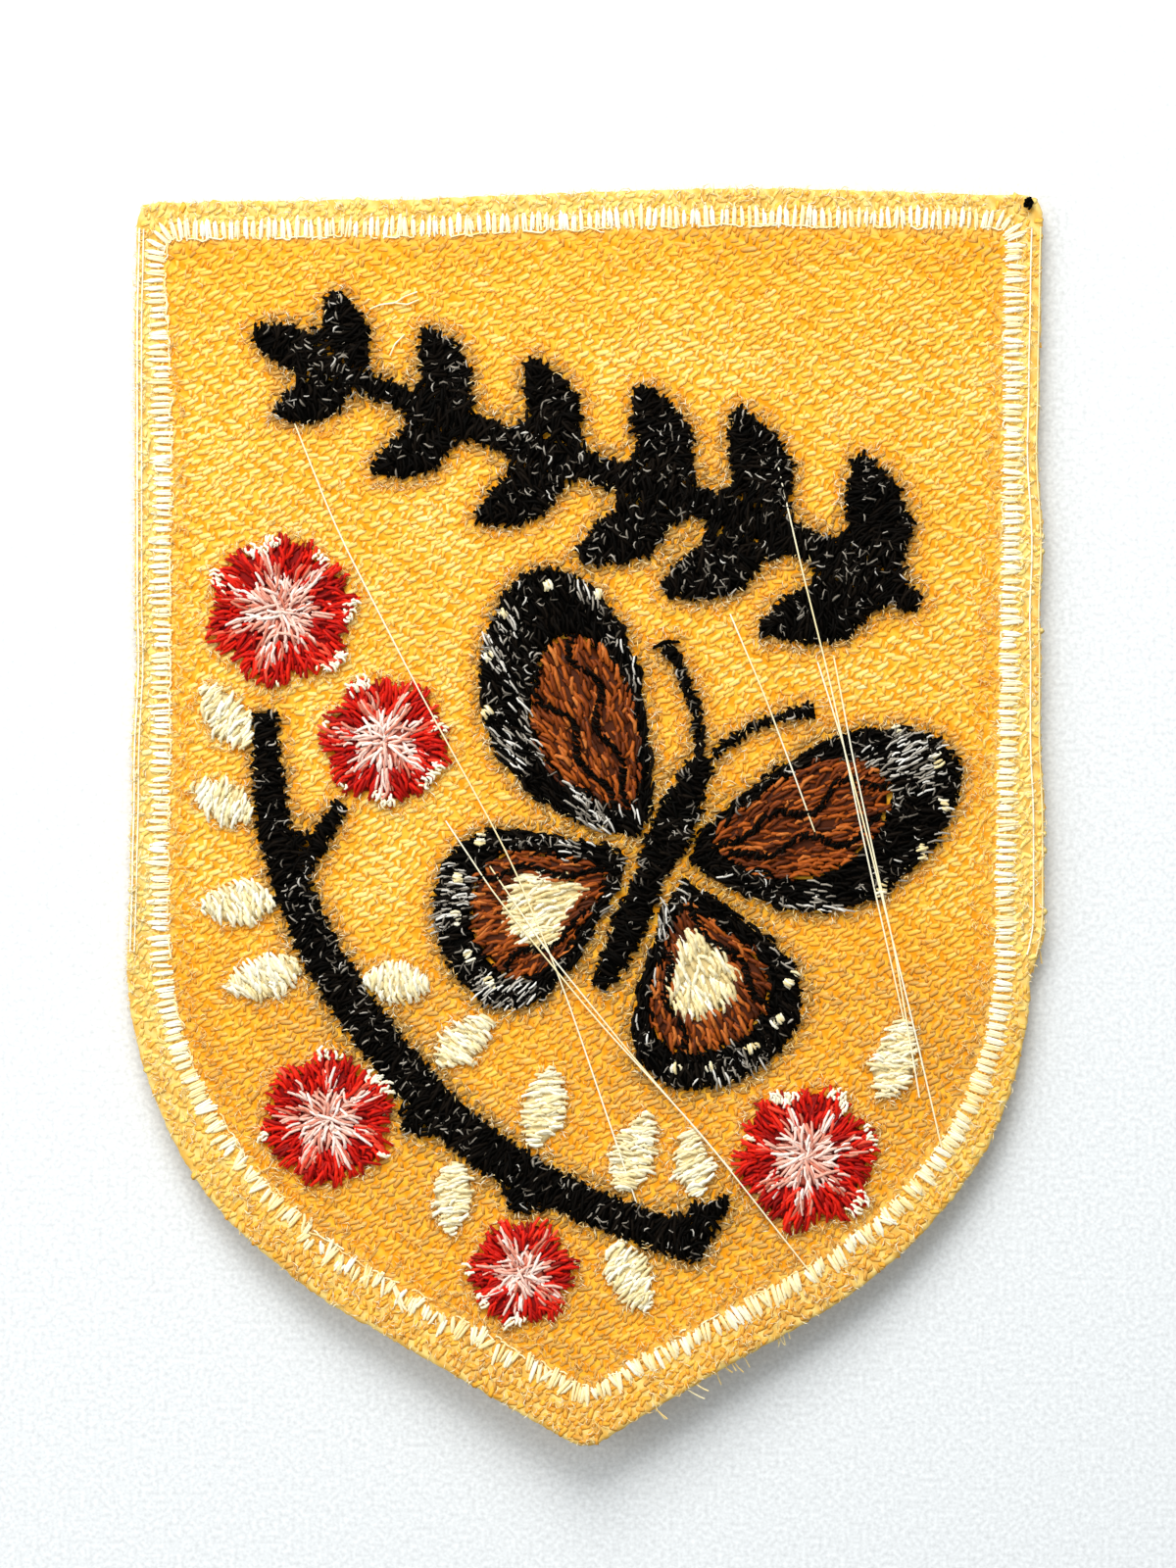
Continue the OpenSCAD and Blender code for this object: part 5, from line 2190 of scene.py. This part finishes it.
@dataclass
class Studio:
    """The table, the light and the camera."""

    # The camera looks straight down at this point, in millimetres, and sees this height
    aim: Pair = (0.15, 1.92)
    seen_height: float = 99.13
    distance: float = 0.36
    sensor: float = 24.0
    key_place: tuple[float, float, float] = (-0.055, 0.315, 0.28)
    key_power: float = 2.0
    side_place: tuple[float, float, float] = (-0.30, 0.05, 0.20)
    side_power: float = 0.5
    lamp_size: float = 0.28
    lamp_tint: Colour = (1.0, 0.98, 0.95)
    fill_power: float = 0.48
    fill_tint: Colour = (0.92, 0.965, 1.0)
    floor_tint: Colour = (0.80, 0.83, 0.845)
    floor_half: float = 1.5

    def build(self) -> None:
        """Set up the studio."""
        self.table()
        self.lights()
        self.camera()
        settings = bpy.context.scene.view_settings
        settings.view_transform = "Standard"
        settings.look = "None"

    def table(self) -> None:
        """Lay a plain pale table under the patch."""
        half = self.floor_half
        points = [(-half, -half, 0), (half, -half, 0), (half, half, 0), (-half, half, 0)]
        table = placed(mesh_object("table", np.array(points), faces=[(0, 1, 2, 3)]))
        finish = FloorFinish("pale table", "table", 0.9, 0.1, tint=self.floor_tint)
        table.data.materials.append(finish.material())

    def lights(self) -> None:
        """Light the patch from the top and the left, with soft light from all round."""
        for name, place, power in (("window", self.key_place, self.key_power),
                                   ("side", self.side_place, self.side_power)):
            light = bpy.data.lights.new(name, "AREA")
            light.shape = "SQUARE"
            light.size = self.lamp_size
            light.energy = power
            light.color = self.lamp_tint
            lamp = placed(bpy.data.objects.new(name, light))
            lamp.location = place
            lamp.rotation_euler = (-Vector(place)).to_track_quat("-Z", "Y").to_euler()
        world = bpy.data.worlds.new("soft room")
        world.use_nodes = True
        background = world.node_tree.nodes["Background"]
        background.inputs["Color"].default_value = (*self.fill_tint, 1)
        background.inputs["Strength"].default_value = self.fill_power
        bpy.context.scene.world = world

    def camera(self) -> None:
        """Look straight down on the patch."""
        lens = bpy.data.cameras.new("camera")
        lens.sensor_fit = "VERTICAL"
        lens.sensor_height = self.sensor
        lens.lens = self.sensor * self.distance / (self.seen_height * MM)
        lens.clip_start = 0.01
        camera = placed(bpy.data.objects.new("camera", lens))
        camera.location = (self.aim[0] * MM, self.aim[1] * MM, self.distance)
        bpy.context.scene.camera = camera


def main() -> None:
    """Build the patch and its studio, and note the sizes."""
    logging.basicConfig(level=logging.INFO, format="%(message)s")
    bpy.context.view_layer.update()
    shop = Workshop.opened()
    picture = Picture(shop)
    TwillCloth(shop).build()
    Border(shop).build()
    picture.build()
    LooseThreads(shop).build()
    shop.close()
    Studio().build()


if __name__ == "__main__":
    main()
